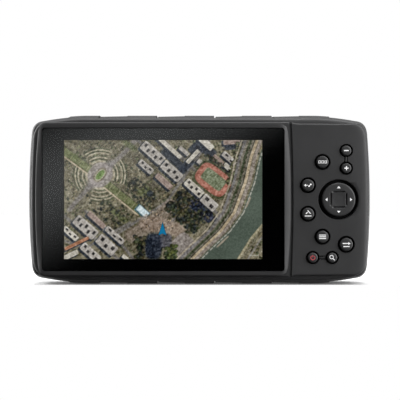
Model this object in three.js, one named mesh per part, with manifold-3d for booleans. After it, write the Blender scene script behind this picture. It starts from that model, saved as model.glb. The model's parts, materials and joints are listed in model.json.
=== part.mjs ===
// A portable aviation GPS receiver: a rugged case with a five-inch display on the left, a keypad on the
// right, a removable battery behind a cover with two D-ring fasteners, and three capped sockets.
// Millimetres. Seen from the front, +X is to the right, +Y goes to the back and +Z is up.
// The device stands on its lower grip: z = 0 is that surface, and x = y = 0 is the middle of its box.
import * as THREE from 'three';
import { mergeVertices } from 'three/addons/utils/BufferGeometryUtils.js';
import Module from 'manifold-3d';

const wasm = await Module();
wasm.setup();

// ---------------------------------------------------------------- driving dimensions

const CASE = { width: 190.5, height: 94, depth: 43 };
const WALL = 2.2;
const GAP = 0.15; // clearance round pieces that sit in a pocket
const TOUCH = 0.1; // clearance between stacked pieces
const INSET_REACH = 12; // how far in the rectangle lies that an outline shrinks towards

const HALF_WIDTH = CASE.width / 2;
const HALF_HEIGHT = CASE.height / 2;
const FRONT = -CASE.depth / 2;
const BACK = CASE.depth / 2;

// Planes across the case, as y.
const LENS_FRONT = FRONT + 0.4;
const LENS_BACK = LENS_FRONT + 1.1;
const LENS_SEAT = LENS_BACK + 0.7;
const LEDGE_BACK = LENS_SEAT + 0.9;
const KEYPAD_FACE = -18.5;
const KEYPAD_BACK = -16.7;
const PARTING = -13.2;
const RIM_FRONT = -14.2;
const SHELF = -12.6;
const BAY_FLOOR = 2.4;
const BACK_FACE = 19;
const COVER_SEAT = 16.2;

// Display and lens.
const DISPLAY_X = -19.8;
const LENS = { width: 131.7, height: 77.8, radius: 3 };
const WINDOW = { width: 112, height: 69, radius: 1 };
const LCD = { width: 118, height: 74 };

// Battery and its cover.
const COVER = { x: -14, width: 124, height: 66, radius: 9 };
const BATTERY = { x: -15.9, width: 86, height: 54, thickness: 16 };
const BAY = { x: -14, width: 90.4, height: 55.2 };
const FASTENER_X = 53; // each side of the cover's middle
const FASTENER_RECESS = { radius: 8, depth: 3.4 };

// The three capped sockets in the back: outline of the pocket, and of the cap that covers it.
const POCKET_FLOOR = 11.6;
const POWER_FLOOR = 8; // the power socket is sunk deeper than the others
const SOCKET_FACE = 12.2; // how far back the sockets stand
const SOCKETS = {
  antenna: { x: 69, z: 29.5, width: 12, height: 10, capWidth: 18, capHeight: 14 },
  usb: { x: 69, z: 10.5, width: 28, height: 11, capWidth: 34, capHeight: 15.5 },
  power: { x: 69, z: -15.5, width: 21, height: 21, capWidth: 27, capHeight: 26, floor: POWER_FLOOR },
};
const CONNECTORS = {
  antenna: { x: 69, z: 29.5, body: 2.9, barrel: 1.7, bore: 1.2 },
  usb: { x: 63, z: 10.5, width: 7.6, height: 2.9 },
  audio: { x: 76, z: 10.5, body: 3.1, mouth: 1.9, bore: 1.8 },
  power: { x: 69, z: -15.5, body: 6.9, bore: 5.7, tailWidth: 6.6, tailHeight: 3 },
};
const CAP_THICKNESS = 1.6;
const CAP_HINGE = CAP_THICKNESS / 2; // radius of the rounded edge that a cap turns on

// Keys: centre, radius of the hole, and radius of the cap.
const LARGE_KEY = { hole: 4.4, cap: 3.3 };
const SMALL_KEY = { hole: 3.65, cap: 2.7 };
const NAV_KEY = { hole: 4.65, cap: 3.55 };
const KEYS = {
  page: { x: 67.1, z: 20.5, ...LARGE_KEY },
  zoom_out: { x: 80.1, z: 26.7, ...SMALL_KEY },
  zoom_in: { x: 80.1, z: 17.1, ...SMALL_KEY },
  quit: { x: 59.2, z: 7.8, ...LARGE_KEY },
  enter: { x: 59.2, z: -7.8, ...LARGE_KEY },
  menu: { x: 67.1, z: -20.3, ...LARGE_KEY },
  nav: { x: 80.1, z: -24.5, ...NAV_KEY },
  power: { x: 61.8, z: -31.7, ...SMALL_KEY },
  find: { x: 72.4, z: -31.7, ...SMALL_KEY },
};
const KEY_TOP = -19.9;
const KEY_STEM_END = -14.5;
const KEY_FLANGE = 1.6; // how far the flange reaches past the cap
const BRIDGE_WIDTH = 1.1;
const BRIDGE_SLOT = 2.1;
const DPAD = { x: 75.9, z: 0, radius: 9.25, well: 10.9, hole: 10.3 };

const SCREWS = [
  [-84.5, 34.5],
  [-84.5, -34.5],
  [50.5, 37],
  [50.5, -37],
  [86, 33.5],
  [86, -33.5],
];
const SCREW = { shank: 1.2, head: 2.3, seat: 8, tip: -14.8 };

// Grip pads along the top and bottom edges.
const GRIP = { reach: 72.8, pitch: 32, padWidth: 16.3, raise: 0.5, thickness: 1.3, front: -11.1, back: 13 };

const COLOURS = {
  case: [0x2b2b2c, 0.6, 0],
  rubber: [0x1c1c1d, 0.85, 0],
  key: [0x3a3a3b, 0.7, 0],
  lens: [0x050506, 0.08, 0],
  screen: [0x6b6f55, 0.4, 0],
  steel: [0xa8abad, 0.35, 1],
  brass: [0xb08d4a, 0.35, 1],
  board: [0x1d4a32, 0.6, 0],
  battery: [0x232425, 0.6, 0],
  polyimide: [0xb5772a, 0.5, 0],
  ceramic: [0xcfc8b6, 0.6, 0],
  foam: [0x141414, 0.95, 0],
  chassis: [0x77797b, 0.5, 0.6],
};

// ---------------------------------------------------------------- solids

/** A closed three.js geometry as a manifold-3d solid. */
function solid(geometry) {
  const bare = geometry.index ? geometry.toNonIndexed() : geometry.clone();
  bare.deleteAttribute('normal');
  bare.deleteAttribute('uv');
  const merged = mergeVertices(bare, 1e-4);
  return new wasm.Manifold(
    new wasm.Mesh({
      numProp: 3,
      vertProperties: merged.attributes.position.array,
      triVerts: new Uint32Array(merged.index.array),
    }),
  );
}

/** A manifold-3d solid as a three.js geometry. */
function geometryOf(made) {
  const mesh = made.getMesh();
  const geometry = new THREE.BufferGeometry();
  geometry.setAttribute('position', new THREE.BufferAttribute(mesh.vertProperties, 3));
  geometry.setIndex(new THREE.BufferAttribute(mesh.triVerts, 1));
  geometry.computeVertexNormals();
  return geometry;
}

const join = (first, ...rest) => rest.reduce((made, piece) => made.add(piece), first);
const cut = (first, ...rest) => rest.reduce((made, piece) => made.subtract(piece), first);

/** A flat shape in x and z, extruded from one y to another. */
function prism(shape, yFront, yBack, curveSegments = 3) {
  const depth = yBack - yFront;
  const geometry = new THREE.ExtrudeGeometry(shape, { depth, bevelEnabled: false, curveSegments });
  return solid(geometry.rotateX(Math.PI / 2).translate(0, yBack, 0));
}

/** A flat shape in y and z, extruded from one x to another. */
function barAlongX(points, xLeft, xRight) {
  const shape = new THREE.Shape(points.map(([y, z]) => new THREE.Vector2(y, z)));
  const geometry = new THREE.ExtrudeGeometry(shape, { depth: xRight - xLeft, bevelEnabled: false });
  const turn = new THREE.Matrix4().makeBasis(
    new THREE.Vector3(0, 1, 0),
    new THREE.Vector3(0, 0, 1),
    new THREE.Vector3(1, 0, 0),
  );
  return solid(geometry.applyMatrix4(turn).translate(xLeft, 0, 0));
}

function box(x, z, width, height, yFront, yBack) {
  const geometry = new THREE.BoxGeometry(width, yBack - yFront, height);
  return solid(geometry.translate(x, (yFront + yBack) / 2, z));
}

/** A cylinder along y, or a cone when the radius at its back differs. */
function rod(x, z, radius, yFront, yBack, radiusBack = radius, segments = 14) {
  const geometry = new THREE.CylinderGeometry(radiusBack, radius, yBack - yFront, segments);
  return solid(geometry.translate(x, (yFront + yBack) / 2, z));
}

/** A cylinder along x. */
function rodAlongX(y, z, radius, xLeft, xRight, segments = 10) {
  const geometry = new THREE.CylinderGeometry(radius, radius, xRight - xLeft, segments);
  return solid(geometry.rotateZ(Math.PI / 2).translate((xLeft + xRight) / 2, y, z));
}

/** A cylinder along z. */
function rodAlongZ(x, y, radius, zLow, zHigh, segments = 12) {
  const geometry = new THREE.CylinderGeometry(radius, radius, zHigh - zLow, segments);
  return solid(geometry.rotateX(Math.PI / 2).translate(x, y, (zLow + zHigh) / 2));
}

/** A body turned about an axis along y, from [radius, y] points that start and end on the axis. */
function turned(x, z, profile, segments = 12) {
  const points = profile.map(([radius, y]) => new THREE.Vector2(radius, y));
  return solid(new THREE.LatheGeometry(points, segments).translate(x, 0, z));
}

function roundedRect(x, z, width, height, radius) {
  const [left, right] = [x - width / 2, x + width / 2];
  const [low, high] = [z - height / 2, z + height / 2];
  const shape = new THREE.Shape();
  shape.moveTo(left + radius, low);
  shape.lineTo(right - radius, low);
  shape.absarc(right - radius, low + radius, radius, -Math.PI / 2, 0);
  shape.lineTo(right, high - radius);
  shape.absarc(right - radius, high - radius, radius, 0, Math.PI / 2);
  shape.lineTo(left + radius, high);
  shape.absarc(left + radius, high - radius, radius, Math.PI / 2, Math.PI);
  shape.lineTo(left, low + radius);
  shape.absarc(left + radius, low + radius, radius, Math.PI, 1.5 * Math.PI);
  return shape;
}

/** An outline moved inwards: each point moves towards a rectangle that lies well inside it. */
function inset(points, distance) {
  const inner = new THREE.Box2().setFromPoints(points).expandByScalar(-INSET_REACH);
  return points.map((point) => {
    const inwards = inner.clampPoint(point, new THREE.Vector2()).sub(point).normalize();
    return point.clone().addScaledVector(inwards, distance);
  });
}

/** A closed body through the same outline at several depths, each [y, inset], from front to back. */
function loft(outline, stations) {
  const rings = stations.map(([y, distance]) => ({ y, points: inset(outline, distance) }));
  const count = outline.length;
  const positions = [];
  const index = [];
  for (const { y, points } of rings) points.forEach((p) => positions.push(p.x, y, p.y));
  for (let ring = 0; ring < rings.length - 1; ring++) {
    for (let i = 0; i < count; i++) {
      const a = ring * count + i;
      const b = ring * count + ((i + 1) % count);
      index.push(a, b + count, b, a, a + count, b + count);
    }
  }
  const last = (rings.length - 1) * count;
  for (const [a, b, c] of THREE.ShapeUtils.triangulateShape(rings[0].points, [])) index.push(a, b, c);
  for (const [a, b, c] of THREE.ShapeUtils.triangulateShape(rings.at(-1).points, [])) {
    index.push(last + a, last + c, last + b);
  }
  const geometry = new THREE.BufferGeometry();
  geometry.setAttribute('position', new THREE.Float32BufferAttribute(positions, 3));
  geometry.setIndex(index);
  return solid(geometry);
}

// ---------------------------------------------------------------- outlines

/** The case at its widest: bowed ends, soft corners, and long edges that fall away past the grips. */
function caseOutline() {
  const corner = { x: HALF_WIDTH - 1.45, z: 36.5 };
  const shoulder = { x: 87.2, z: 44 };
  const flat = { x: 63, z: HALF_HEIGHT - GRIP.raise };
  const shape = new THREE.Shape();
  for (const side of [1, -1]) {
    // Half a turn anticlockwise: up the bowed end, round the corner, along the edge and down again.
    const { x, z } = corner;
    if (side === 1) shape.moveTo(x, -z);
    shape.quadraticCurveTo(side * (2 * HALF_WIDTH - x), 0, side * x, side * z);
    shape.bezierCurveTo(
      side * (x - 0.4),
      side * 41,
      side * 91.3,
      side * 43.6,
      side * shoulder.x,
      side * shoulder.z,
    );
    shape.quadraticCurveTo(side * 74, side * 46.4, side * flat.x, side * flat.z);
    shape.lineTo(-side * flat.x, side * flat.z);
    shape.quadraticCurveTo(-side * 74, side * 46.4, -side * shoulder.x, side * shoulder.z);
    shape.bezierCurveTo(-side * 91.3, side * 43.6, -side * (x - 0.4), side * 41, -side * x, side * z);
  }
  return distinct(shape.getPoints(4));
}

/** The front shell: a little inside the case, taller beside the display than beside the keypad. */
function frontOutline() {
  const [left, right] = [-92.3, 92.6];
  const [tall, low] = [42.4, 41.6];
  const shape = new THREE.Shape();
  shape.moveTo(right - 1, -33.5);
  shape.quadraticCurveTo(right + 1, 0, right - 1, 33.5);
  shape.bezierCurveTo(right - 1.4, 38, right - 3.4, low - 0.4, right - 8, low - 0.2);
  shape.lineTo(54, low);
  shape.bezierCurveTo(52, low, 51, tall, 48, tall);
  shape.lineTo(left + 8.4, tall);
  shape.bezierCurveTo(left + 4.4, tall - 0.2, left + 1.6, 38.5, left + 1, 33.5);
  shape.quadraticCurveTo(left - 1, 0, left + 1, -33.5);
  shape.bezierCurveTo(left + 1.6, -38.5, left + 4.4, 0.2 - tall, left + 8.4, -tall);
  shape.lineTo(48, -tall);
  shape.bezierCurveTo(51, -tall, 52, -low, 54, -low);
  shape.lineTo(right - 8, 0.2 - low);
  shape.bezierCurveTo(right - 3.4, 0.4 - low, right - 1.4, -38, right - 1, -33.5);
  return distinct(shape.getPoints(5));
}

/** The raised bezel round the display: it follows the front shell on three sides. */
function bezelOutline() {
  const [left, right, top] = [-89.3, 50.4, 41.3];
  const shape = new THREE.Shape();
  shape.moveTo(right - 0.4, -36);
  shape.quadraticCurveTo(right + 0.4, 0, right - 0.4, 36);
  shape.bezierCurveTo(right - 0.8, 39.5, right - 1.8, top, right - 5, top);
  shape.lineTo(left + 8, top);
  shape.bezierCurveTo(left + 4.2, top - 0.2, left + 1.5, 38, left + 1, 33);
  shape.quadraticCurveTo(left - 1, 0, left + 1, -33);
  shape.bezierCurveTo(left + 1.5, -38, left + 4.2, 0.2 - top, left + 8, -top);
  shape.lineTo(right - 5, -top);
  shape.bezierCurveTo(right - 1.8, -top, right - 0.8, -39.5, right - 0.4, -36);
  return distinct(shape.getPoints(5));
}

/** An outline without the points that repeat where two curves meet. */
function distinct(points) {
  return points.filter((p, i) => p.distanceTo(points[(i + 1) % points.length]) > 1e-3);
}

const CASE_OUTLINE = caseOutline();
const FRONT_OUTLINE = frontOutline();

// The case's outside, as [y, inset] from front to back.
const CASE_PROFILE = [
  [RIM_FRONT, 2.2],
  [-8, 0.8],
  [-1, 0],
  [10, 0],
  [14.5, 1.2],
  [17.8, 4.2],
  [BACK_FACE, 7.5],
];

// ---------------------------------------------------------------- the assembly

const device = new THREE.Group();
device.position.z = HALF_HEIGHT;

/** Adds one named piece to the device. */
function place(name, made, colour) {
  const [color, roughness, metalness] = COLOURS[colour];
  const material = new THREE.MeshStandardMaterial({ color, roughness, metalness });
  const mesh = new THREE.Mesh(geometryOf(made), material);
  mesh.name = name;
  device.add(mesh);
}

// ---------------------------------------------------------------- grips

/** The part of the case's skin from an outset down to a depth, between two x and two y. */
function skinLayer(side, outset, depth, [xLeft, xRight], [yFront, yBack]) {
  const skinAt = (distance) =>
    loft(
      CASE_OUTLINE,
      CASE_PROFILE.map(([y, inwards]) => [y, inwards - distance]),
    );
  const room = box((xLeft + xRight) / 2, side * HALF_HEIGHT, xRight - xLeft, 16, yFront, yBack);
  return cut(skinAt(outset), skinAt(-depth)).intersect(room);
}

/** A pad that lies in one plane, so that the device can stand on it. */
function flatPad(side, x) {
  const flat = HALF_HEIGHT - GRIP.raise;
  const section = [
    [-10.2, flat - 1.2],
    [-8.6, HALF_HEIGHT - 0.3],
    [-7.8, HALF_HEIGHT],
    [11.4, HALF_HEIGHT],
    [12.6, flat - 0.6],
    [12.6, flat - 1.4],
    [-1, flat - 0.7],
    [-8, flat - 1.5],
    [-10.2, flat - 2],
  ];
  const points = section.map(([y, z]) => [y, side * z]);
  return barAlongX(side > 0 ? points : points.reverse(), x - GRIP.padWidth / 2, x + GRIP.padWidth / 2);
}

/** A rubber strip let into the case, with five pads: three flat ones, and two on the falling ends. */
function grip(side) {
  const { reach, pitch, padWidth, raise, thickness, front, back } = GRIP;
  const strip = skinLayer(side, 0, thickness, [-reach, reach], [front, back]);
  const flatPads = [-pitch, 0, pitch].map((x) => flatPad(side, x));
  const endPads = [-2 * pitch, 2 * pitch].map((x) =>
    skinLayer(side, raise, thickness / 2, [x - padWidth / 2, x + padWidth / 2], [front + 1, back - 0.6]),
  );
  return join(strip, ...flatPads, ...endPads);
}

/** The groove that a grip lies in. */
function gripGroove(side) {
  const { reach, thickness, front, back } = GRIP;
  return skinLayer(side, 3, thickness + GAP, [-reach - GAP, reach + GAP], [front - GAP, back + GAP]);
}

// ---------------------------------------------------------------- rear housing

/** A walled pocket sunk in the back of the case: its outside, and the space in it. */
function pocket({ x, z, width, height, floor = POCKET_FLOOR }) {
  const wall = 1.6;
  return {
    outside: prism(roundedRect(x, z, width + 2 * wall, height + 2 * wall, 3), floor - 2, 18),
    inside: prism(roundedRect(x, z, width, height, 2), floor, BACK_FACE + 1),
  };
}

function rearHousing() {
  const shell = loft(CASE_OUTLINE, CASE_PROFILE);
  const cavity = loft(CASE_OUTLINE, [
    [SHELF - 1, 5.4],
    [-8, 3],
    [-1, WALL],
    [10, WALL],
    [14, 3.4],
    [16.6, 6.4],
  ]);
  const mouth = loft(FRONT_OUTLINE, [
    [RIM_FRONT - 1, -0.25],
    [SHELF, -0.25],
  ]);
  const sockets = Object.values(SOCKETS);
  const pockets = sockets.map(pocket);
  const tub = box(BAY.x, 0, BAY.width + 4, BAY.height + 4, 0.4, 17.5);
  const seatPlate = prism(
    roundedRect(COVER.x, 0, COVER.width + 2 * WALL, COVER.height + 2 * WALL, COVER.radius + WALL),
    COVER_SEAT - WALL,
    17.5,
  );
  const cover = COVER.x;
  const bosses = [-1, 1].map((side) => rod(cover + side * FASTENER_X, 0, 5, 5, 17));
  const columns = SCREWS.map(([x, z]) => rod(x, z, 3.6, -9, 17, 3.6, 10));

  const bay = prism(roundedRect(BAY.x, 0, BAY.width, BAY.height, 2), BAY_FLOOR, BACK_FACE + 1);
  const seat = prism(
    roundedRect(cover, 0, COVER.width + 2 * GAP, COVER.height + 2 * GAP, COVER.radius),
    COVER_SEAT,
    BACK_FACE + 1,
  );
  const insertHoles = [-1, 1].map((side) => rod(cover + side * FASTENER_X, 0, 3.2, 6.5, 17));
  const screwHoles = SCREWS.map(([x, z]) =>
    join(rod(x, z, 1.6, -12, 12, 1.6, 8), rod(x, z, 2.7, SCREW.seat, BACK_FACE + 1, 2.7, 12)),
  );
  const capSeats = sockets.map(({ x, z, capWidth, capHeight }) => {
    const floor = BACK_FACE - CAP_THICKNESS - GAP;
    const width = capWidth + CAP_HINGE + 2 * GAP;
    const seat = roundedRect(x - CAP_HINGE / 2, z, width, capHeight + 2 * GAP, 3);
    const hingeRoom = box(x - capWidth / 2, z, 2 * (CAP_HINGE + GAP), capHeight - 1.2, floor, BACK_FACE + 1);
    return join(prism(seat, floor, BACK_FACE + 1), hingeRoom);
  });
  const cardWindow = box(-40, 0, 15.6, 16.6, 0, BAY_FLOOR + 1);
  const { antenna, usb, audio, power } = CONNECTORS;
  const connectorHoles = [
    rod(antenna.x, antenna.z, antenna.barrel + GAP, 8, 13, antenna.barrel + GAP, 12),
    box(usb.x, usb.z, usb.width + 2 * GAP, usb.height + 2 * GAP, 8, 13),
    rod(audio.x, audio.z, audio.mouth, 8, 13, audio.mouth, 12),
    box(power.x, power.z, power.tailWidth + 2 * GAP, power.tailHeight + 2 * GAP, 5, 9),
  ];

  return cut(
    join(
      cut(shell, cavity, mouth),
      tub,
      seatPlate,
      ...bosses,
      ...pockets.map((p) => p.outside),
      ...columns,
    ),
    bay,
    seat,
    ...insertHoles,
    ...screwHoles,
    ...pockets.map((p) => p.inside),
    ...capSeats,
    cardWindow,
    ...connectorHoles,
    gripGroove(1),
    gripGroove(-1),
  );
}

// ---------------------------------------------------------------- front housing

/** The slot between two linked keys, where the key mat's bridge shows. */
function bridgeSlot(a, b, width, yFront, yBack) {
  const [x, z] = [(a.x + b.x) / 2, (a.z + b.z) / 2];
  const across = Math.abs(a.x - b.x);
  const up = Math.abs(a.z - b.z);
  return across > up ? box(x, z, across, width, yFront, yBack) : box(x, z, width, up, yFront, yBack);
}

function frontHousing() {
  const plate = loft(FRONT_OUTLINE, [
    [KEYPAD_FACE, 1.6],
    [KEYPAD_FACE + 0.5, 0.6],
    [KEYPAD_FACE + 1.6, 0],
    [PARTING, 0],
  ]);
  const bezel = loft(bezelOutline(), [
    [FRONT, 3.4],
    [FRONT + 0.3, 2.9],
    [FRONT + 1.7, 0.4],
    [FRONT + 2.5, 0],
    [KEYPAD_FACE + 1, 0],
  ]);
  const skirtOutside = 3.2;
  const skirtInside = 4.4;
  const skirt = cut(
    loft(FRONT_OUTLINE, [[KEYPAD_BACK, skirtOutside], [-11, skirtOutside]]),
    loft(FRONT_OUTLINE, [[KEYPAD_BACK - 1, skirtInside], [-10, skirtInside]]),
  );
  const bosses = SCREWS.map(([x, z]) => rod(x, z, 2.9, -17, -9.3, 2.9, 10));
  const hollow = loft(FRONT_OUTLINE, [[KEYPAD_BACK, skirtInside], [PARTING + 1, skirtInside]]);
  const displayRoom = box(DISPLAY_X, 0, LCD.width + 3, LCD.height + 3, LEDGE_BACK, PARTING + 1);
  const lensPocket = prism(
    roundedRect(DISPLAY_X, 0, LENS.width + 2 * GAP, LENS.height + 2 * GAP, LENS.radius),
    FRONT - 1,
    LENS_SEAT,
  );
  const window = prism(
    roundedRect(DISPLAY_X, 0, WINDOW.width, WINDOW.height, WINDOW.radius),
    FRONT - 1,
    LEDGE_BACK + 1,
  );
  const keyHoles = Object.values(KEYS).map(({ x, z, hole }) =>
    rod(x, z, hole, KEYPAD_FACE - 1, KEYPAD_BACK + 1, hole, 16),
  );
  const well = rod(DPAD.x, DPAD.z, DPAD.well, KEYPAD_FACE - 0.2, KEYPAD_BACK + 0.2, DPAD.hole, 24);
  const slots = [
    bridgeSlot(KEYS.zoom_out, KEYS.zoom_in, BRIDGE_SLOT, KEYPAD_FACE - 1, KEYPAD_BACK + 1),
    bridgeSlot(KEYS.power, KEYS.find, BRIDGE_SLOT, KEYPAD_FACE - 1, KEYPAD_BACK + 1),
  ];
  const pilotHoles = SCREWS.map(([x, z]) => rod(x, z, 1.35, -15.4, -9, 1.35, 8));
  return cut(
    join(cut(join(plate, bezel), hollow, displayRoom), skirt, ...bosses),
    lensPocket,
    window,
    ...keyHoles,
    well,
    ...slots,
    ...pilotHoles,
  );
}

function housingSeal() {
  const front = PARTING + TOUCH;
  const back = SHELF - TOUCH;
  return cut(
    loft(FRONT_OUTLINE, [[front, 0.3], [back, 0.3]]),
    loft(FRONT_OUTLINE, [[front - 1, 1.9], [back + 1, 1.9]]),
  );
}

// ---------------------------------------------------------------- display stack

function frameRing(outer, inner, yFront, yBack) {
  return cut(prism(outer, yFront, yBack), prism(inner, yFront - 1, yBack + 1));
}

function displayStack() {
  const { width, height, radius } = LENS;
  const lensOutline = roundedRect(DISPLAY_X, 0, width, height, radius);
  place('display_lens', prism(lensOutline, LENS_FRONT, LENS_BACK), 'lens');
  place(
    'lens_adhesive',
    frameRing(
      roundedRect(DISPLAY_X, 0, width - 1, height - 1, radius - 0.5),
      roundedRect(DISPLAY_X, 0, WINDOW.width + 1, WINDOW.height + 1, 1),
      LENS_BACK + TOUCH,
      LENS_SEAT - TOUCH,
    ),
    'foam',
  );
  const lcdBack = LEDGE_BACK + TOUCH + 1.4;
  place('lcd_panel', box(DISPLAY_X, 0, LCD.width, LCD.height, LEDGE_BACK + TOUCH, lcdBack), 'screen');
  place('backlight', box(DISPLAY_X, 0, LCD.width, LCD.height, lcdBack + TOUCH, lcdBack + 2.7), 'steel');
  const flex = [
    [-14.0, -26], [-14.0, -37.2], [-12.2, -38], [-10.4, -37.2], [-10.4, -31],
    [-10.7, -31], [-10.7, -37], [-12.2, -37.6], [-13.7, -37], [-13.7, -26],
  ];
  place('lcd_flex', barAlongX(flex, DISPLAY_X - 13, DISPLAY_X + 13), 'polyimide');
  place('lcd_connector', box(DISPLAY_X, -29.5, 27, 2.6, -10.6, -9.3), 'key');
}

// ---------------------------------------------------------------- keys

/** One key: a low dome, a flange that holds it behind the face, and a stem that presses its contact. */
function key({ x, z, cap }) {
  const flange = cap + KEY_FLANGE;
  return turned(x, z, [
    [0, KEY_TOP],
    [cap - 0.2, KEY_TOP + 0.4],
    [cap, KEY_TOP + 1.1],
    [cap, -16.55],
    [flange, -16.55],
    [flange, -15.9],
    [1.6, -15.9],
    [1.6, KEY_STEM_END],
    [0, KEY_STEM_END],
  ]);
}

function keypad() {
  for (const [name, entry] of Object.entries(KEYS)) place(`key_${name}`, key(entry), 'key');

  const { x, z, radius } = DPAD;
  const pad = turned(
    x,
    z,
    [
      [0, -19.6],
      [4, -19.6],
      [5.2, -20],
      [radius - 1, -19.7],
      [radius, -18.9],
      [radius, -15.8],
      [DPAD.hole + 0.6, -15.8],
      [DPAD.hole + 0.6, -15.3],
      [0, -15.3],
    ],
    28,
  );
  place('dpad', pad, 'key');
  place('dpad_actuator', rod(x, z, 8, -14.7, -14.2, 8, 24), 'case');

  const corners = SCREWS.map(([sx, sz]) => rod(sx, sz, 3.3, -16, -11, 3.3, 10));
  const stack = { x: 69.6, width: 33, height: 74 };
  const mat = roundedRect(stack.x, 0, stack.width, stack.height, 4);
  const stemHoles = Object.values(KEYS).map((k) => rod(k.x, k.z, 2.2, -16, -13, 2.2, 10));
  const bridges = [
    bridgeSlot(KEYS.zoom_out, KEYS.zoom_in, BRIDGE_WIDTH, KEYPAD_FACE + 0.1, -14.5),
    bridgeSlot(KEYS.power, KEYS.find, BRIDGE_WIDTH, KEYPAD_FACE + 0.1, -14.5),
  ];
  const bridged = [KEYS.zoom_out, KEYS.zoom_in, KEYS.power, KEYS.find];
  const keyRoom = bridged.map(({ x: keyX, z: keyZ, hole, cap }) => {
    const wide = cap + KEY_FLANGE + 0.25;
    return join(
      rod(keyX, keyZ, hole, KEYPAD_FACE - 1, KEYPAD_BACK, hole, 16),
      rod(keyX, keyZ, wide, KEYPAD_BACK - 0.1, -14.9, wide, 12),
    );
  });
  const sheet = cut(prism(mat, -14.9, -14.1), ...stemHoles, rod(x, z, 12.4, -16, -13, 12.4, 24));
  place('key_mat', cut(join(sheet, ...bridges), ...keyRoom, ...stemHoles, ...corners), 'rubber');
  place('dome_sheet', cut(prism(mat, -13.55, -13.3), ...corners), 'polyimide');
  place('keypad_board', cut(prism(mat, -13.2, -12.2), ...corners), 'board');
}

// ---------------------------------------------------------------- electronics

function electronics() {
  const chassis = cut(
    join(
      box(DISPLAY_X, 0, 120, 75, -13.4, -12.3),
      ...[[-72, 28], [-72, -28], [32, 28], [32, -28]].map(([x, z]) => rod(x, z, 2.4, -12.5, -9.3, 2.4, 12)),
    ),
    box(DISPLAY_X, -37, 32, 6, -15, -9),
  );
  place('chassis', chassis, 'chassis');
  place('main_board', box(DISPLAY_X, 2, 118, 64, -9.2, -7.6), 'board');
  place('processor_shield', box(-45, 8, 32, 28, -7.5, -4.6), 'steel');
  place('receiver_shield', box(-5, 12, 24, 20, -7.5, -5), 'steel');
  place('beeper', rod(22, -14, 6, -7.5, -3.5, 6, 20), 'key');
  place('backup_cell', rod(2, -14, 4.8, -7.5, -5.2, 4.8, 20), 'steel');

  place('io_board', box(69, 0.5, 26, 63, 3.4, 5), 'board');
  place('antenna_patch', box(69, 38.8, 18, 3.6, -8.5, 8.5), 'ceramic');
  place('antenna_ground', box(69, 36.3, 24, 1, -9, 9), 'brass');
  const coax = new THREE.CatmullRomCurve3([
    new THREE.Vector3(57.5, -3, 34.8),
    new THREE.Vector3(55, -3, 33),
    new THREE.Vector3(45, -4, 30),
    new THREE.Vector3(30, -5, 26),
    new THREE.Vector3(12, -6.5, 26),
  ]);
  const section = new THREE.Shape();
  section.absarc(0, 0, 0.6, 0, 2 * Math.PI);
  place(
    'antenna_lead',
    solid(new THREE.ExtrudeGeometry(section, { steps: 14, curveSegments: 3, extrudePath: coax })),
    'rubber',
  );
}

/** The four connectors. Each stands on the connector board and reaches through the floor of its pocket. */
function connectors() {
  const { antenna, usb, audio, power } = CONNECTORS;
  const foot = 5.1;
  const underFloor = POCKET_FLOOR - 2.2;
  const coaxBody = join(
    rod(antenna.x, antenna.z, antenna.body, foot, underFloor),
    rod(antenna.x, antenna.z, antenna.barrel, underFloor - 0.1, SOCKET_FACE),
  );
  const coaxBore = rod(antenna.x, antenna.z, antenna.bore, 8, 15, antenna.bore, 10);
  place('antenna_connector', cut(coaxBody, coaxBore), 'brass');

  const usbShell = box(usb.x, usb.z, usb.width, usb.height, foot, SOCKET_FACE);
  const usbMouth = box(usb.x, usb.z, usb.width - 0.7, usb.height - 0.7, 8, 15);
  place('usb_connector', cut(usbShell, usbMouth), 'steel');

  const jackBody = rod(audio.x, audio.z, audio.body, foot, underFloor);
  place('audio_jack', cut(jackBody, rod(audio.x, audio.z, audio.bore, 6.5, 15, audio.bore, 10)), 'key');

  const pins = [0, 1, 2, 3].map((i) => {
    const angle = (i + 0.5) * (Math.PI / 2);
    const [x, z] = [power.x + 3 * Math.cos(angle), power.z + 3 * Math.sin(angle)];
    return rod(x, z, 0.5, POWER_FLOOR + 1, SOCKET_FACE - 1, 0.5, 6);
  });
  const socketBody = cut(
    rod(power.x, power.z, power.body, POWER_FLOOR + GAP, SOCKET_FACE, power.body, 24),
    rod(power.x, power.z, power.bore, POWER_FLOOR + 1.2, 15, power.bore, 24),
  );
  const tail = box(power.x, power.z, power.tailWidth, power.tailHeight, foot, POWER_FLOOR + 0.5);
  place('power_connector', join(socketBody, tail, ...pins), 'key');
}

// ---------------------------------------------------------------- battery and cover

function batteryBay() {
  const front = BAY_FLOOR + 0.3;
  const back = front + BATTERY.thickness;
  const { x, width, height } = BATTERY;
  place('battery_pack', prism(roundedRect(x, 0, width, height, 1.8), front, back, 3), 'battery');
  place('battery_contacts', box(BAY.x + BAY.width / 2 - 1.9, 0, 3.4, 16, 4, 12), 'key');
  const socket = cut(box(-40, 0, 15, 16, 0.6, 2.3), box(-40, 3, 11.6, 17, 0.9, 1.9));
  place('card_socket', socket, 'steel');
  place('memory_card', box(-40, 1.5, 11, 13, 1.05, 1.75), 'key');
  for (const [side, name] of [[-1, 'left'], [1, 'right']]) {
    const at = COVER.x + side * FASTENER_X;
    place(`cover_insert_${name}`, cut(rod(at, 0, 3, 7, 13), rod(at, 0, 2.25, 6, 14)), 'brass');
  }
}

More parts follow.
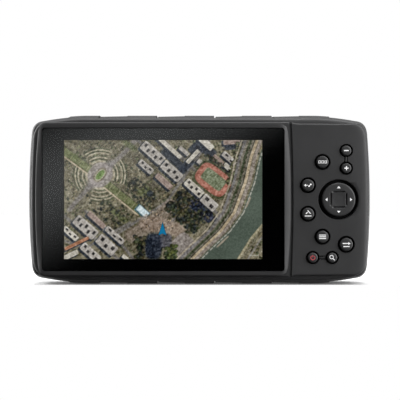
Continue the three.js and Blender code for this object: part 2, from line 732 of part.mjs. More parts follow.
function batteryCover() {
  const outline = distinct(roundedRect(COVER.x, 0, COVER.width, COVER.height, COVER.radius).getPoints(5));
  const body = loft(outline, [
    [COVER_SEAT + 1.1, 0],
    [BACK_FACE + 0.6, 0],
    [BACK - 0.9, 0.8],
    [BACK, 3],
  ]);
  const room = box(BATTERY.x, 0, BATTERY.width + 1, BATTERY.height + 1, COVER_SEAT, BACK - 2.2);
  const { radius, depth } = FASTENER_RECESS;
  const recesses = [-1, 1].map((side) => {
    const x = COVER.x + side * FASTENER_X;
    return join(
      rod(x, 0, radius, BACK - depth, BACK + 1, radius, 24),
      rod(x, 0, 2.3, COVER_SEAT, BACK, 2.3, 14),
    );
  });
  place('battery_cover', cut(body, room, ...recesses), 'case');
  place(
    'cover_gasket',
    frameRing(
      roundedRect(COVER.x, 0, BAY.width + 9, BAY.height + 7.6, 5),
      roundedRect(COVER.x, 0, BAY.width + 5, BAY.height + 3.6, 3),
      COVER_SEAT + TOUCH,
      COVER_SEAT + 1,
    ),
    'rubber',
  );
}

/** A quarter-turn stud with two ears, and the D-shaped ring that folds flat between them. */
function fastener(side, name) {
  const x = COVER.x + side * FASTENER_X;
  const floor = BACK - FASTENER_RECESS.depth + TOUCH;
  const hinge = { y: BACK - 1, z: 2.6, pin: 0.6, hole: 0.75 };
  const ringOutside = 4.3;
  const ringInside = 2.9;
  const ears = [-1, 1].map((ear) => box(x + ear * 5.3, hinge.z, 1.4, 2.6, floor + 0.5, BACK - 0.1));
  const stud = cut(
    join(
      rod(x, 0, 7.6, floor, floor + 1, 7.6, 24),
      rod(x, 0, 2, 8, floor + 0.5, 2, 14),
      ...ears,
    ),
    rodAlongX(hinge.y, hinge.z, hinge.hole, x - 7, x + 7),
  );
  place(`cover_stud_${name}`, stud, 'steel');

  const ring = new THREE.Shape();
  ring.moveTo(x - ringOutside, hinge.z + hinge.hole);
  ring.lineTo(x - ringOutside, -hinge.z);
  ring.absarc(x, -hinge.z, ringOutside, Math.PI, 2 * Math.PI);
  ring.lineTo(x + ringOutside, hinge.z + hinge.hole);
  const hole = new THREE.Path();
  hole.moveTo(x - ringInside, hinge.z - hinge.hole);
  hole.lineTo(x - ringInside, -hinge.z);
  hole.absarc(x, -hinge.z, ringInside, Math.PI, 2 * Math.PI);
  hole.lineTo(x + ringInside, hinge.z - hinge.hole);
  ring.holes.push(hole);
  const bow = prism(ring, BACK - 1.7, BACK - 0.3, 5);
  place(`d_ring_${name}`, join(bow, rodAlongX(hinge.y, hinge.z, hinge.pin, x - 6.3, x + 6.3)), 'steel');
}

// ---------------------------------------------------------------- caps and screws

/** A rubber cap that lies flush in the back, with a bead in its pocket and a rounded edge to turn on. */
function weatherCap({ x, z, width, height, capWidth, capHeight }) {
  const cornerRoom = 3; // at each end of the edge that the cap turns on
  const inner = BACK_FACE - CAP_THICKNESS;
  const lid = prism(roundedRect(x, z, capWidth, capHeight, 2.8), inner, BACK_FACE);
  const bead = frameRing(
    roundedRect(x, z, width - 1, height - 1, 1.6),
    roundedRect(x, z, width - 3.4, height - 3.4, 0.8),
    inner - 1.4,
    inner + 0.5,
  );
  const straight = capHeight - 2 * cornerRoom;
  const tab = box(x + capWidth / 2 - 2.2, z, 1.6, Math.min(8, straight), BACK_FACE - 0.5, BACK_FACE + 0.8);
  const edge = rodAlongZ(x - capWidth / 2, inner + CAP_HINGE, CAP_HINGE, z - straight / 2, z + straight / 2);
  return join(lid, bead, tab, edge);
}

function caseScrew([x, z]) {
  const { shank, head, seat, tip } = SCREW;
  const top = seat + 2.2;
  return cut(
    join(rod(x, z, shank, tip, seat + 0.5, shank, 10), rod(x, z, head, seat + TOUCH, top, head, 14)),
    rod(x, z, 1, top - 1.1, top + 1, 1, 6),
  );
}

place('rear_housing', rearHousing(), 'case');
place('front_housing', frontHousing(), 'case');
place('housing_seal', housingSeal(), 'rubber');
place('upper_grip', grip(1), 'rubber');
place('lower_grip', grip(-1), 'rubber');
displayStack();
keypad();
electronics();
connectors();
batteryBay();
batteryCover();
fastener(-1, 'left');
fastener(1, 'right');
for (const [name, socket] of Object.entries(SOCKETS)) place(`${name}_cap`, weatherCap(socket), 'rubber');
SCREWS.forEach((at, i) => place(`case_screw_${i + 1}`, caseScrew(at), 'steel'));

const part = new THREE.Group();
part.add(device);

export default part;
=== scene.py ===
"""Visual model of a portable aviation GPS receiver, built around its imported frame.

Lengths below are in millimetres in the row frame: +X right, +Y to the back, +Z up, z = 0 under the grips.
"""
import json
import math

import bmesh
import bpy
import numpy as np
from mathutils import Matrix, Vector


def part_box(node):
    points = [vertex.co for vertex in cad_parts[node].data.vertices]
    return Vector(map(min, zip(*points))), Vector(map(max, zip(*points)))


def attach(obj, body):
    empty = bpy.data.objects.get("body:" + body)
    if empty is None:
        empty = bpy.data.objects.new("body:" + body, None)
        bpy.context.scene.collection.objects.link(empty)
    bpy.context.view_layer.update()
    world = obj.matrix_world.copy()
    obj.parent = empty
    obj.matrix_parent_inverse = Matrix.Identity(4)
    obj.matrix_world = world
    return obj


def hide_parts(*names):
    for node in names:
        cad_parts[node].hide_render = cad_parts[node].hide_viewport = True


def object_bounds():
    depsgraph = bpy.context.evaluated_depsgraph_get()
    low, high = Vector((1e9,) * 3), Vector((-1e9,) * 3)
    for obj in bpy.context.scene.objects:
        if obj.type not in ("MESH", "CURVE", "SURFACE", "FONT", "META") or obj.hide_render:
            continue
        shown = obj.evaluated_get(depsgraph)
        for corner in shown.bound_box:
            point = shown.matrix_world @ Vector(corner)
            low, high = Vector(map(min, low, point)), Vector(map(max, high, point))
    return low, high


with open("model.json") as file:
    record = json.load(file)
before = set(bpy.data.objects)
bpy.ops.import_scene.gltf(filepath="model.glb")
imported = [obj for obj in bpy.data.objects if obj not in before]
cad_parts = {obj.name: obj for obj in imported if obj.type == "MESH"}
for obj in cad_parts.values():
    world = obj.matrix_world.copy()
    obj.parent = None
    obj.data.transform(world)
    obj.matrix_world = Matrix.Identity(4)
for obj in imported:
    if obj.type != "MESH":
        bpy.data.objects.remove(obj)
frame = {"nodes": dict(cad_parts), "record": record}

cad_low, cad_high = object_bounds()
MM = 0.001


# ---------------- places taken from the frame

def node_box(name):
    """Lowest and highest corners of a CAD node, in millimetres."""
    low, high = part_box(name)
    return np.array(low) / MM, np.array(high) / MM


def node_centre(name):
    low, high = node_box(name)
    return (low + high) / 2


def face_of(name):
    """Middle, width and height of a CAD node as seen from the front."""
    low, high = node_box(name)
    return (low[0] + high[0]) / 2, (low[2] + high[2]) / 2, high[0] - low[0], high[2] - low[2]


def depth_of(name):
    """Where a CAD node begins and ends from front to back."""
    low, high = node_box(name)
    return low[1], high[1]


MIDDLE_Z = (cad_low.z + cad_high.z) / 2 / MM
HALF_WIDTH = (cad_high.x - cad_low.x) / 2 / MM
HALF_HEIGHT = (cad_high.z - cad_low.z) / 2 / MM
FRONT = cad_low.y / MM
BACK = cad_high.y / MM
RIM_FRONT, BACK_FACE = depth_of("rear_housing")
PARTING = RIM_FRONT + 1.0
LENS_X, LENS_Z, LENS_WIDTH, LENS_HEIGHT = face_of("display_lens")
LENS_FRONT, LENS_BACK = depth_of("display_lens")
LENS_CORNER = 1.6
KEYPAD_FACE = FRONT + 3.0
KEYPAD_BACK = FRONT + 4.8
ACTIVE_WIDTH, ACTIVE_HEIGHT = 108.0, 64.8
DPAD_X, _, DPAD_Z = node_centre("dpad")
GRIP_RAISE = 0.5


# ---------------- solids as vertices and faces

def merge(*solids):
    """Several solids as one list of vertices and one of faces."""
    vertices, faces = [], []
    for points, polygons in solids:
        start = len(vertices)
        vertices.extend(map(tuple, points))
        faces.extend([tuple(i + start for i in polygon) for polygon in polygons])
    return vertices, faces


def skin(rings, closed=False):
    """A solid through rings of equally many points. Unless it closes on itself, its end rings are filled."""
    count = len(rings[0])
    vertices = [tuple(point) for ring in rings for point in ring]
    faces = []
    spans = len(rings) if closed else len(rings) - 1
    for ring in range(spans):
        here, there = ring * count, (ring + 1) % len(rings) * count
        for i in range(count):
            j = (i + 1) % count
            faces.append((here + i, here + j, there + j, there + i))
    if not closed:
        faces.append(tuple(range(count)))
        faces.append(tuple((len(rings) - 1) * count + i for i in range(count)))
    return vertices, faces


def shrink(points, distance, reach=12.0):
    """An outline moved inwards: each point moves towards a rectangle that lies well inside it."""
    low, high = points.min(0) + reach, points.max(0) - reach
    inwards = np.clip(points, low, high) - points
    length = np.linalg.norm(inwards, axis=1, keepdims=True)
    return points + inwards / length * distance


def at_depth(points, y):
    return [(x, y, z) for x, z in points]


def through(*stations, closed=False):
    """A solid through outlines, each at its own depth."""
    return skin([at_depth(points, y) for points, y in stations], closed)


def loft(points, stations, reach=12.0, closed=False):
    """A solid through one outline at several depths, each (y, inset)."""
    return through(*[(shrink(points, inset, reach), y) for y, inset in stations], closed=closed)


def rounded_rect(x, z, width, height, radius, steps=8):
    """Outline of a rectangle with round corners, as an array of (x, z)."""
    points = []
    for quarter, (sx, sz) in enumerate(((1, -1), (1, 1), (-1, 1), (-1, -1))):
        centre = (x + sx * (width / 2 - radius), z + sz * (height / 2 - radius))
        for step in range(steps + 1):
            angle = math.radians(90 * (quarter - 1 + step / steps))
            points.append((centre[0] + radius * math.cos(angle), centre[1] + radius * math.sin(angle)))
    return np.array(points)


def circle(x, z, radius, count=48):
    angles = np.arange(count) * 2 * math.pi / count
    return np.stack([x + radius * np.cos(angles), z + radius * np.sin(angles)], 1)


def prism(points, y_front, y_back):
    return through((points, y_front), (points, y_back))


def turned(points, degrees):
    """Points turned about the origin in the plane of the front."""
    angle = math.radians(degrees)
    return np.array(points) @ [[math.cos(angle), math.sin(angle)], [-math.sin(angle), math.cos(angle)]]


def flared(points, y_inside, y_surface, flare=0.3):
    """A cutter that widens where it meets a surface, so that the edge it leaves is broken."""
    centre = (points.min(0) + points.max(0)) / 2
    half = (points.max(0) - points.min(0)) / 2
    wide = centre + (points - centre) * (1 + flare / half)
    outwards = math.copysign(1.0, y_surface - y_inside)
    return through((points, y_inside), (points, y_surface - outwards * flare), (wide, y_surface),
                   (wide, y_surface + outwards * 2))


def lathe(x, z, profile, count=64):
    """A solid turned about an axis along y, from (radius, y) points of positive radius."""
    return through(*[(circle(x, z, radius, count), y) for radius, y in profile])


def block(x, y, z, width, depth, height):
    corners = np.array([(-1, -1), (1, -1), (1, 1), (-1, 1)]) * (width / 2, height / 2)
    return prism(corners + (x, z), y - depth / 2, y + depth / 2)


def rod(x_low, x_high, y, z, radius, count):
    """A round bar along x."""
    angles = np.arange(count) * 2 * math.pi / count
    return skin([[(x, y + radius * math.cos(a), z + radius * math.sin(a)) for a in angles]
                 for x in (x_low, x_high)])


def swept(path, radius, count=16):
    """A round bar along a closed path of (x, z, y) points that lies in a plane of constant y."""
    rings = []
    for i, point in enumerate(path):
        before, after = path[i - 1], path[(i + 1) % len(path)]
        along = np.array([after[0] - before[0], after[1] - before[1]])
        along /= np.linalg.norm(along)
        across = np.array([-along[1], along[0]])
        ring = []
        for step in range(count):
            angle = 2 * math.pi * step / count
            offset = across * math.cos(angle) * radius
            ring.append((point[0] + offset[0], point[2] + math.sin(angle) * radius, point[1] + offset[1]))
        rings.append(ring)
    return skin(rings, closed=True)


# ---------------- Blender objects

def mesh_object(name, solid):
    """A Blender object from a solid given in millimetres, with its faces turned outwards."""
    points, faces = solid
    mesh = bpy.data.meshes.new(name)
    mesh.from_pydata([tuple(c * MM for c in point) for point in points], [], faces)
    work = bmesh.new()
    work.from_mesh(mesh)
    bmesh.ops.recalc_face_normals(work, faces=work.faces)
    work.to_mesh(mesh)
    work.free()
    piece = bpy.data.objects.new(name, mesh)
    bpy.context.scene.collection.objects.link(piece)
    return piece


def settle(piece):
    """Applies an object's modifiers."""
    bpy.context.view_layer.update()
    graph = bpy.context.evaluated_depsgraph_get()
    mesh = bpy.data.meshes.new_from_object(piece.evaluated_get(graph))
    old = piece.data
    piece.modifiers.clear()
    piece.data = mesh
    bpy.data.meshes.remove(old)


def combine(piece, solid, operation):
    """Joins a solid to an object, or cuts it away."""
    tool = mesh_object("tool", solid)
    change = piece.modifiers.new("change", "BOOLEAN")
    change.object = tool
    change.operation = operation
    change.solver = "EXACT"
    change.use_self = True
    settle(piece)
    mesh = tool.data
    bpy.data.objects.remove(tool)
    bpy.data.meshes.remove(mesh)


def soften(piece, width):
    """Rounds the sharp edges of an object."""
    edge = piece.modifiers.new("edge", "BEVEL")
    edge.width = width * MM
    edge.segments = 2
    edge.limit_method = "ANGLE"
    edge.angle_limit = math.radians(34)
    edge.use_clamp_overlap = True
    edge.miter_outer = "MITER_ARC"
    settle(piece)


def shade(piece, angle=30):
    piece.data.shade_smooth()
    piece.data.set_sharp_from_angle(angle=math.radians(angle))


def level(piece):
    """Keeps the shading of large flat faces flat up to the small rounded ones that border them."""
    shade(piece)
    weighted = piece.modifiers.new("level", "WEIGHTED_NORMAL")
    weighted.keep_sharp = True
    settle(piece)


def finish_piece(piece, material, body, replaced=(), angle=30):
    """Gives a piece its material, its body and the CAD nodes that it stands for."""
    if material is not None:
        piece.data.materials.clear()
        piece.data.materials.append(material)
    shade(piece, angle)
    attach(piece, body)
    if replaced:
        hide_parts(*replaced)
    return piece


def make(name, solid, material, body, replaced=()):
    return finish_piece(mesh_object(name, solid), material, body, replaced)


def inlaid(name, base, marks, materials, body, replaced=()):
    """One piece of two materials: a base solid, and marks that stand a hair proud of it."""
    points, faces = merge(base, *marks)
    piece = mesh_object(name, (points, faces))
    for material in materials:
        piece.data.materials.append(material)
    first_mark = len(base[1])
    for polygon in piece.data.polygons:
        polygon.material_index = 1 if polygon.index >= first_mark else 0
    return finish_piece(piece, None, body, replaced)


# ---------------- materials

def new_material(name):
    material = bpy.data.materials.new(name)
    material.use_nodes = True
    tree = material.node_tree
    return material, tree, tree.nodes["Principled BSDF"]


def feed(node, **values):
    """Sets a node's inputs, named with _ for a space: a number, a colour or the output of another node."""
    for name, value in values.items():
        socket = node.inputs[name.replace("_", " ")]
        if isinstance(value, bpy.types.NodeSocket):
            node.id_data.links.new(value, socket)
        else:
            socket.default_value = (*value, 1) if socket.type == "RGBA" else value
    return node


def add(tree, kind, **values):
    """A new shader node with its inputs."""
    return feed(tree.nodes.new(f"ShaderNode{kind}"), **values)


def mixed(tree, share, first, second):
    """Two shaders mixed by the share of the second."""
    mix = add(tree, "MixShader", Fac=share)
    tree.links.new(first, mix.inputs[1])
    tree.links.new(second, mix.inputs[2])
    return mix.outputs["Shader"]


def noise(tree, where, scale, detail=2.0, roughness=0.5):
    return add(tree, "TexNoise", Vector=where, Scale=scale, Detail=detail, Roughness=roughness).outputs["Fac"]


def ramp(tree, value, low, high):
    """A value's middle range spread between two colours or two numbers."""
    node = add(tree, "ValToRGB", Fac=value)
    for element, position, end in zip(node.color_ramp.elements, (0.3, 0.7), (low, high)):
        element.position = position
        element.color = (*np.broadcast_to(end, 3), 1)
    return node.outputs["Color"]


def tints(colour, *shares):
    """A colour made darker or lighter by each share."""
    return [[c * share for c in colour] for share in shares]


def bump(tree, shader, height, depth):
    relief = add(tree, "Bump", Strength=1.0, Distance=depth * MM, Height=height)
    feed(shader, Normal=relief.outputs["Normal"])


def coordinates_of(tree, stretch=None):
    """Object coordinates, which are metres in the row frame, stretched along an axis where asked."""
    where = add(tree, "TexCoord").outputs["Object"]
    if stretch is None:
        return where
    return add(tree, "Mapping", Vector=where, Scale=stretch).outputs["Vector"]


def moulded(name, colour, rough=0.5, grain=2200.0, depth=0.012, variation=0.12, specular=0.5):
    """Moulded plastic or rubber: a spark-eroded grain, with faint cloudiness in colour and gloss."""
    material, tree, shader = new_material(name)
    where = coordinates_of(tree)
    cloud = noise(tree, where, 45.0, 4.0, 0.6)
    fine = noise(tree, where, grain, 2.0, 0.6)
    feed(shader, Base_Color=ramp(tree, cloud, *tints(colour, 1 - variation, 1 + variation)),
         Roughness=ramp(tree, fine, rough - 0.06, rough + 0.08), Specular_IOR_Level=specular)
    bump(tree, shader, fine, depth)
    return material


def brushed(name, colour, rough=0.3, stretch=(300.0, 6000.0, 6000.0)):
    """Metal with a fine grain along one axis."""
    material, tree, shader = new_material(name)
    grain = noise(tree, coordinates_of(tree, stretch), 1.0, 3.0, 0.6)
    cloud = noise(tree, coordinates_of(tree), 120.0, 3.0)
    feed(shader, Base_Color=ramp(tree, cloud, *tints(colour, 0.82, 1)),
         Roughness=ramp(tree, grain, rough - 0.08, rough + 0.12), Metallic=1.0)
    bump(tree, shader, grain, 0.004)
    return material


def circuit_board(name, colour, copper):
    """Solder mask with tracks and pads showing faintly through it."""
    material, tree, shader = new_material(name)
    where = coordinates_of(tree)
    cells = add(tree, "TexBrick", Vector=where, Scale=1 / (2.4 * MM), Mortar_Size=0.06, Color1=colour,
                Color2=[c * 0.8 for c in colour], Mortar=copper)
    feed(shader, Base_Color=cells.outputs["Color"],
         Roughness=ramp(tree, noise(tree, where, 900.0), 0.25, 0.45))
    bump(tree, shader, cells.outputs["Fac"], 0.03)
    return material


def clear_glass(name):
    """A thin pane that passes light straight on and mirrors at a glance.

    The layers bonded behind it hold the rest of its gloss, as a coat.
    """
    material, tree, shader = new_material(name)
    tree.nodes.remove(shader)
    clear = add(tree, "BsdfTransparent", Color=(0.96, 0.97, 0.97))
    polish = noise(tree, coordinates_of(tree), 60.0, 3.0)
    mirror = add(tree, "BsdfGlossy", Roughness=ramp(tree, polish, 0.03, 0.06))
    share = add(tree, "Fresnel", IOR=1.12).outputs["Fac"]
    pane = mixed(tree, share, clear.outputs["BSDF"], mirror.outputs["BSDF"])
    feed(tree.nodes["Material Output"], Surface=pane)
    return material


def behind_glass(shader):
    """The polish of the glass that a layer is bonded to."""
    feed(shader, Specular_IOR_Level=0.0, Coat_Weight=1.0, Coat_Roughness=0.05, Coat_IOR=1.6)


def printed(name, colour, rough, glow):
    """A sign on a backlit key: nearly even ink, with a slight mottle, and light coming through it."""
    material = moulded(name, colour, rough, grain=3500.0, depth=0.003, variation=0.05)
    feed(material.node_tree.nodes["Principled BSDF"], Emission_Color=colour, Emission_Strength=glow)
    return material


def lens_ink(name, colour):
    """Ink on the back of the glass, a little uneven in how black it is."""
    material, tree, shader = new_material(name)
    mottle = noise(tree, coordinates_of(tree), 220.0, 4.0, 0.6)
    feed(shader, Base_Color=ramp(tree, mottle, *tints(colour, 0.7, 1.4)), Roughness=0.6)
    behind_glass(shader)
    return material


MATERIALS = {
    "case": moulded("charcoal_case", (0.056, 0.056, 0.057), 0.50, 1900.0, 0.014, 0.12, 0.35),
    "front": moulded("charcoal_front", (0.046, 0.046, 0.047), 0.48, 1900.0, 0.012, 0.12, 0.35),
    "grip": moulded("grip_rubber", (0.050, 0.050, 0.051), 0.62, 2600.0, 0.02, 0.15, 0.35),
    "key": moulded("key_plastic", (0.040, 0.040, 0.041), 0.42, 3200.0, 0.006),
    "legend": printed("white_legend", (0.86, 0.86, 0.86), 0.5, 0.4),
    "power": printed("red_legend", (0.62, 0.10, 0.11), 0.5, 0.12),
    "ink": lens_ink("black_ink", (0.0012, 0.0012, 0.0014)),
    # Near-black painted shade, given to the sides of keys and to the deep parts of the key mat that lie in
    # the shade of their holes.
    "skirt": moulded("key_skirt", (0.006, 0.006, 0.006), 0.7, 2600.0, 0.01, 0.2, 0.1),
    "glass": clear_glass("lens_glass"),
    "steel": brushed("brushed_steel", (0.56, 0.57, 0.58)),
    "shield": brushed("tinned_steel", (0.66, 0.66, 0.65), 0.36),
    "brass": brushed("plated_brass", (0.72, 0.52, 0.24), 0.28),
    "chassis": brushed("cast_alloy", (0.48, 0.49, 0.50), 0.5, (900.0, 900.0, 900.0)),
    "board": circuit_board("green_board", (0.010, 0.085, 0.040), (0.03, 0.17, 0.08)),
    "battery": moulded("battery_wrap", (0.030, 0.031, 0.034), 0.38, 1500.0, 0.006),
    "battery_band": moulded("battery_band", (0.16, 0.17, 0.18), 0.45, 1500.0, 0.006),
    "film": moulded("polyimide_film", (0.52, 0.25, 0.045), 0.3, 800.0, 0.004),
    "ceramic": moulded("fired_ceramic", (0.66, 0.60, 0.48), 0.6, 2400.0, 0.02),
    "foam": moulded("closed_foam", (0.014, 0.014, 0.015), 0.9, 2800.0, 0.05, 0.3),
    "connector": moulded("connector_plastic", (0.018, 0.018, 0.019), 0.35, 1800.0, 0.005),
}


# ---------------- outlines of the case

def bezier(*controls, steps=14):
    """Points along a Bezier curve of any degree, without its last one."""
    controls = [np.array(c, float) for c in controls]
    degree = len(controls) - 1
    points = []
    for step in range(steps):
        t = step / steps
        points.append(sum(math.comb(degree, k) * (1 - t) ** (degree - k) * t ** k * c
                          for k, c in enumerate(controls)))
    return points


def case_outline():
    """The case at its widest: bowed ends, soft corners, and long edges that fall away past the grips."""
    corner_x, corner_z = HALF_WIDTH - 1.45, 36.5
    flat_x, flat_z = 63.0, HALF_HEIGHT - GRIP_RAISE
    half = bezier((corner_x, -corner_z), (2 * HALF_WIDTH - corner_x, 0), (corner_x, corner_z))
    half += bezier((corner_x, corner_z), (corner_x - 0.4, 41), (91.3, 43.6), (87.2, 44))
    half += bezier((87.2, 44), (74, 46.4), (flat_x, flat_z))
    half += bezier((flat_x, flat_z), (-flat_x, flat_z), steps=24)
    half += bezier((-flat_x, flat_z), (-74, 46.4), (-87.2, 44))
    half += bezier((-87.2, 44), (-91.3, 43.6), (0.4 - corner_x, 41), (-corner_x, corner_z))
    return np.array(half + [-point for point in half]) + (0, MIDDLE_Z)


def front_outline():
    """The front shell: a little inside the case, taller beside the display than beside the keypad."""
    front_low, front_high = node_box("front_housing")
    left, right = front_low[0], front_high[0]
    tall, low = 42.4, 41.6
    points = []
    points += bezier((right - 1, -33.5), (right + 1, 0), (right - 1, 33.5))
    points += bezier((right - 1, 33.5), (right - 1.4, 38), (right - 3.4, low - 0.4), (right - 8, low - 0.2))
    points += bezier((right - 8, low - 0.2), (54, low))
    points += bezier((54, low), (52, low), (51, tall), (48, tall), steps=8)
    points += bezier((48, tall), (left + 8.4, tall), steps=24)
    points += bezier((left + 8.4, tall), (left + 4.4, tall - 0.2), (left + 1.6, 38.5), (left + 1, 33.5))
    points += bezier((left + 1, 33.5), (left - 1, 0), (left + 1, -33.5))
    points += bezier((left + 1, -33.5), (left + 1.6, -38.5), (left + 4.4, 0.2 - tall), (left + 8.4, -tall))
    points += bezier((left + 8.4, -tall), (48, -tall), steps=24)
    points += bezier((48, -tall), (51, -tall), (52, -low), (54, -low), steps=8)
    points += bezier((54, -low), (right - 8, 0.2 - low))
    points += bezier((right - 8, 0.2 - low), (right - 3.4, 0.4 - low), (right - 1.4, -38), (right - 1, -33.5))
    return np.array(points) + (0, MIDDLE_Z)


CASE = case_outline()
SHELL = front_outline()

# The case's outside, as (y, inset) from the rim to the back. The grips follow it too.
CASE_PROFILE = [
    (RIM_FRONT, 2.55), (RIM_FRONT + 0.25, 2.2), (-11, 1.45), (-8, 0.8), (-5, 0.33), (-2.5, 0.08), (0, 0),
    (4, 0), (8, 0), (10.5, 0.1), (12.6, 0.5), (14.5, 1.25), (16.2, 2.4), (17.5, 3.8), (18.4, 5.3),
    (18.85, 6.5), (BACK_FACE, 7.8),
]

# The case's rim as (y, inset at the ends, inset above and below), in place of the first two rows above.
RIM_PROFILE = [
    (RIM_FRONT, 2.55, 3.7), (RIM_FRONT + 0.1, 2.35, 3.1), (RIM_FRONT + 0.35, 2.15, 2.45),
    (RIM_FRONT + 0.8, 2.0, 2.08), (RIM_FRONT + 2.0, 1.7, 1.72),
]


def skin_inset(y):
    """How far the case's outside lies inside its widest outline at a depth."""
    return float(np.interp(y, [p[0] for p in CASE_PROFILE], [p[1] for p in CASE_PROFILE]))


# ---------------- rear housing

COVER_X, COVER_Z, COVER_WIDTH, COVER_HEIGHT = face_of("battery_cover")
COVER_FRONT = depth_of("battery_cover")[0]
COVER_RADIUS = 9
COVER_SEAT = COVER_FRONT - 1.1
SEAT_GAP = 0.2
BAY_WIDTH, BAY_HEIGHT, BAY_FLOOR = 90.4, 55.2, 2.4
BAY_WALL = 2.0
POST_BACK = 17.0  # where the posts end, within the skin of the back
STUD_POST, STUD_HOLE = 5.0, 3.2
SCREW_POST, SCREW_SHAFT, SCREW_HEAD = 3.6, 1.6, 2.7
CAP_CORNER = 2.8

# Width, height and floor of the pocket behind each cap.
POCKETS = {"antenna_cap": (12, 10, 11.6), "usb_cap": (28, 11, 11.6), "power_cap": (21, 21, 8.0)}
CAP_THICKNESS = 1.6
STUDS = {side: node_centre(f"cover_stud_{side}") for side in ("left", "right")}
SCREWS = [node_centre(f"case_screw_{i + 1}") for i in range(6)]
GRIP_PITCH = 32.0
PAD_HALF = 8.15
NOTCH = 0.8
GRIP_ENDS = 72.8
GRIP_SPAN = (-11.1, 13.0)


def cap_lid(name):
    """Middle, width and height of a rubber cap's lid, without the rounded edge that it turns on."""
    x, z, width, height = face_of(name)
    return x + CAP_THICKNESS / 4, z, width - CAP_THICKNESS / 2, height


def surface_at(x):
    """Height of the case's upper edge above the middle, which the lower one mirrors."""
    return np.interp(abs(x), TOP_X, TOP_Z)


def grip_cutter(side):
    """The groove round a grip: the layer of the case that the rubber strip fills."""
    front, back = GRIP_SPAN[0] - 0.15, GRIP_SPAN[1] + 0.15
    section = [(front, -3), (back, -3)] + [(y, 1.45) for y in (back, 10, -1, -8, front)]
    return skin([[(x, y, MIDDLE_Z + side * (surface_at(x) - skin_inset(y) - depth)) for y, depth in section]
                 for x in np.linspace(-GRIP_ENDS - 0.15, GRIP_ENDS + 0.15, 60)])


# The upper edge of the case for x at and above zero, used for both grips.
edge_points = sorted((x, z - MIDDLE_Z) for x, z in CASE if x >= 0 and z > MIDDLE_Z + 40)
TOP_X = [0.0] + [x for x, _ in edge_points]
TOP_Z = [HALF_HEIGHT - GRIP_RAISE] + [z for _, z in edge_points]


def rear_shell():
    """The back of the case: its skin, the battery's bay, the pockets for the sockets and the screw posts."""
    rim = []
    for y, inset, inset_z in RIM_PROFILE:
        ring = shrink(CASE, inset)
        ring[:, 1] = shrink(CASE, inset_z)[:, 1]
        rim.append(at_depth(ring, y))
    body = [at_depth(shrink(CASE, inset), y) for y, inset in CASE_PROFILE[2:]]
    shell = mesh_object("rear_shell", skin(rim + body))
    cavity = loft(CASE, [(PARTING - 0.2, 5.4), (-8, 3.1), (-1, 2.2), (10, 2.2), (14, 3.4), (16.6, 6.4)])
    mouth = loft(SHELL, [(RIM_FRONT - 1, -0.25), (PARTING + 0.6, -0.25)])
    combine(shell, merge(cavity, mouth), "DIFFERENCE")

    def cover_outline(gap, radius):
        return rounded_rect(COVER_X, COVER_Z, COVER_WIDTH + 2 * gap, COVER_HEIGHT + 2 * gap, radius)

    bay_front, bay_back = BAY_FLOOR - 1.9, 17.5
    walls = [
        block(COVER_X, (bay_front + bay_back) / 2, MIDDLE_Z, BAY_WIDTH + 2 * BAY_WALL, bay_back - bay_front,
              BAY_HEIGHT + 2 * BAY_WALL),
        prism(cover_outline(2.2, COVER_RADIUS + 2.2), COVER_SEAT - 2.2, 17.6),
    ]
    cutters = [
        prism(rounded_rect(COVER_X, MIDDLE_Z, BAY_WIDTH, BAY_HEIGHT, 2), BAY_FLOOR, BACK_FACE + 2),
        flared(cover_outline(SEAT_GAP, COVER_RADIUS + SEAT_GAP), COVER_SEAT, BACK_FACE, 0.35),
    ]
    for x, _, z in STUDS.values():
        walls.append(prism(circle(x, z, STUD_POST), 5, POST_BACK))
        cutters.append(prism(circle(x, z, STUD_HOLE), 6.5, POST_BACK))
    for name, (width, height, floor) in POCKETS.items():
        x, z, lid_width, lid_height = cap_lid(name)
        walls.append(prism(rounded_rect(x, z, width + 3.2, height + 3.2, 3), floor - 2, 18))
        cutters.append(prism(rounded_rect(x, z, width, height, 2), floor, BACK_FACE + 2))
        seat = rounded_rect(x - CAP_THICKNESS / 4, z, lid_width + CAP_THICKNESS / 2 + 2 * SEAT_GAP,
                            lid_height + 2 * SEAT_GAP, 2.6)
        cutters.append(flared(seat, BACK_FACE - CAP_THICKNESS - SEAT_GAP, BACK_FACE, 0.22))
    for x, _, z in SCREWS:
        walls.append(prism(circle(x, z, SCREW_POST), -9, POST_BACK))
        cutters.append(prism(circle(x, z, SCREW_SHAFT), -12, 12))
        cutters.append(flared(circle(x, z, SCREW_HEAD), 8, BACK_FACE, 0.3))
    antenna, jack = (circle(*face_of(name)[:2], 1.9) for name in ("antenna_connector", "audio_jack"))
    usb = rounded_rect(*face_of("usb_connector")[:2], 8.0, 3.3, 0.8)
    power = rounded_rect(*face_of("power_connector")[:2], 7.0, 3.4, 0.5)
    cutters += [prism(antenna, 8, 13), prism(usb, 8, 13), prism(jack, 8, 13), prism(power, 5, 9)]
    cutters += [grip_cutter(1), grip_cutter(-1)]
    combine(shell, merge(*walls), "UNION")
    combine(shell, merge(*cutters), "DIFFERENCE")
    soften(shell, 0.12)
    finish_piece(shell, MATERIALS["case"], "case", ["rear_housing"])


# How much of its height a grip has at each depth, as (y, share): it rolls off towards the front and the back.
GRIP_DEPTHS = [
    (GRIP_SPAN[0], 0.0), (-10.2, 0.12), (-9.2, 0.35), (-8.0, 0.62), (-6.6, 0.85), (-5, 0.96), (-3, 1.0),
    (0, 1.0), (4, 1.0), (8, 1.0), (10, 1.0), (11.2, 0.9), (12, 0.65), (12.6, 0.3), (GRIP_SPAN[1], 0.0),
]


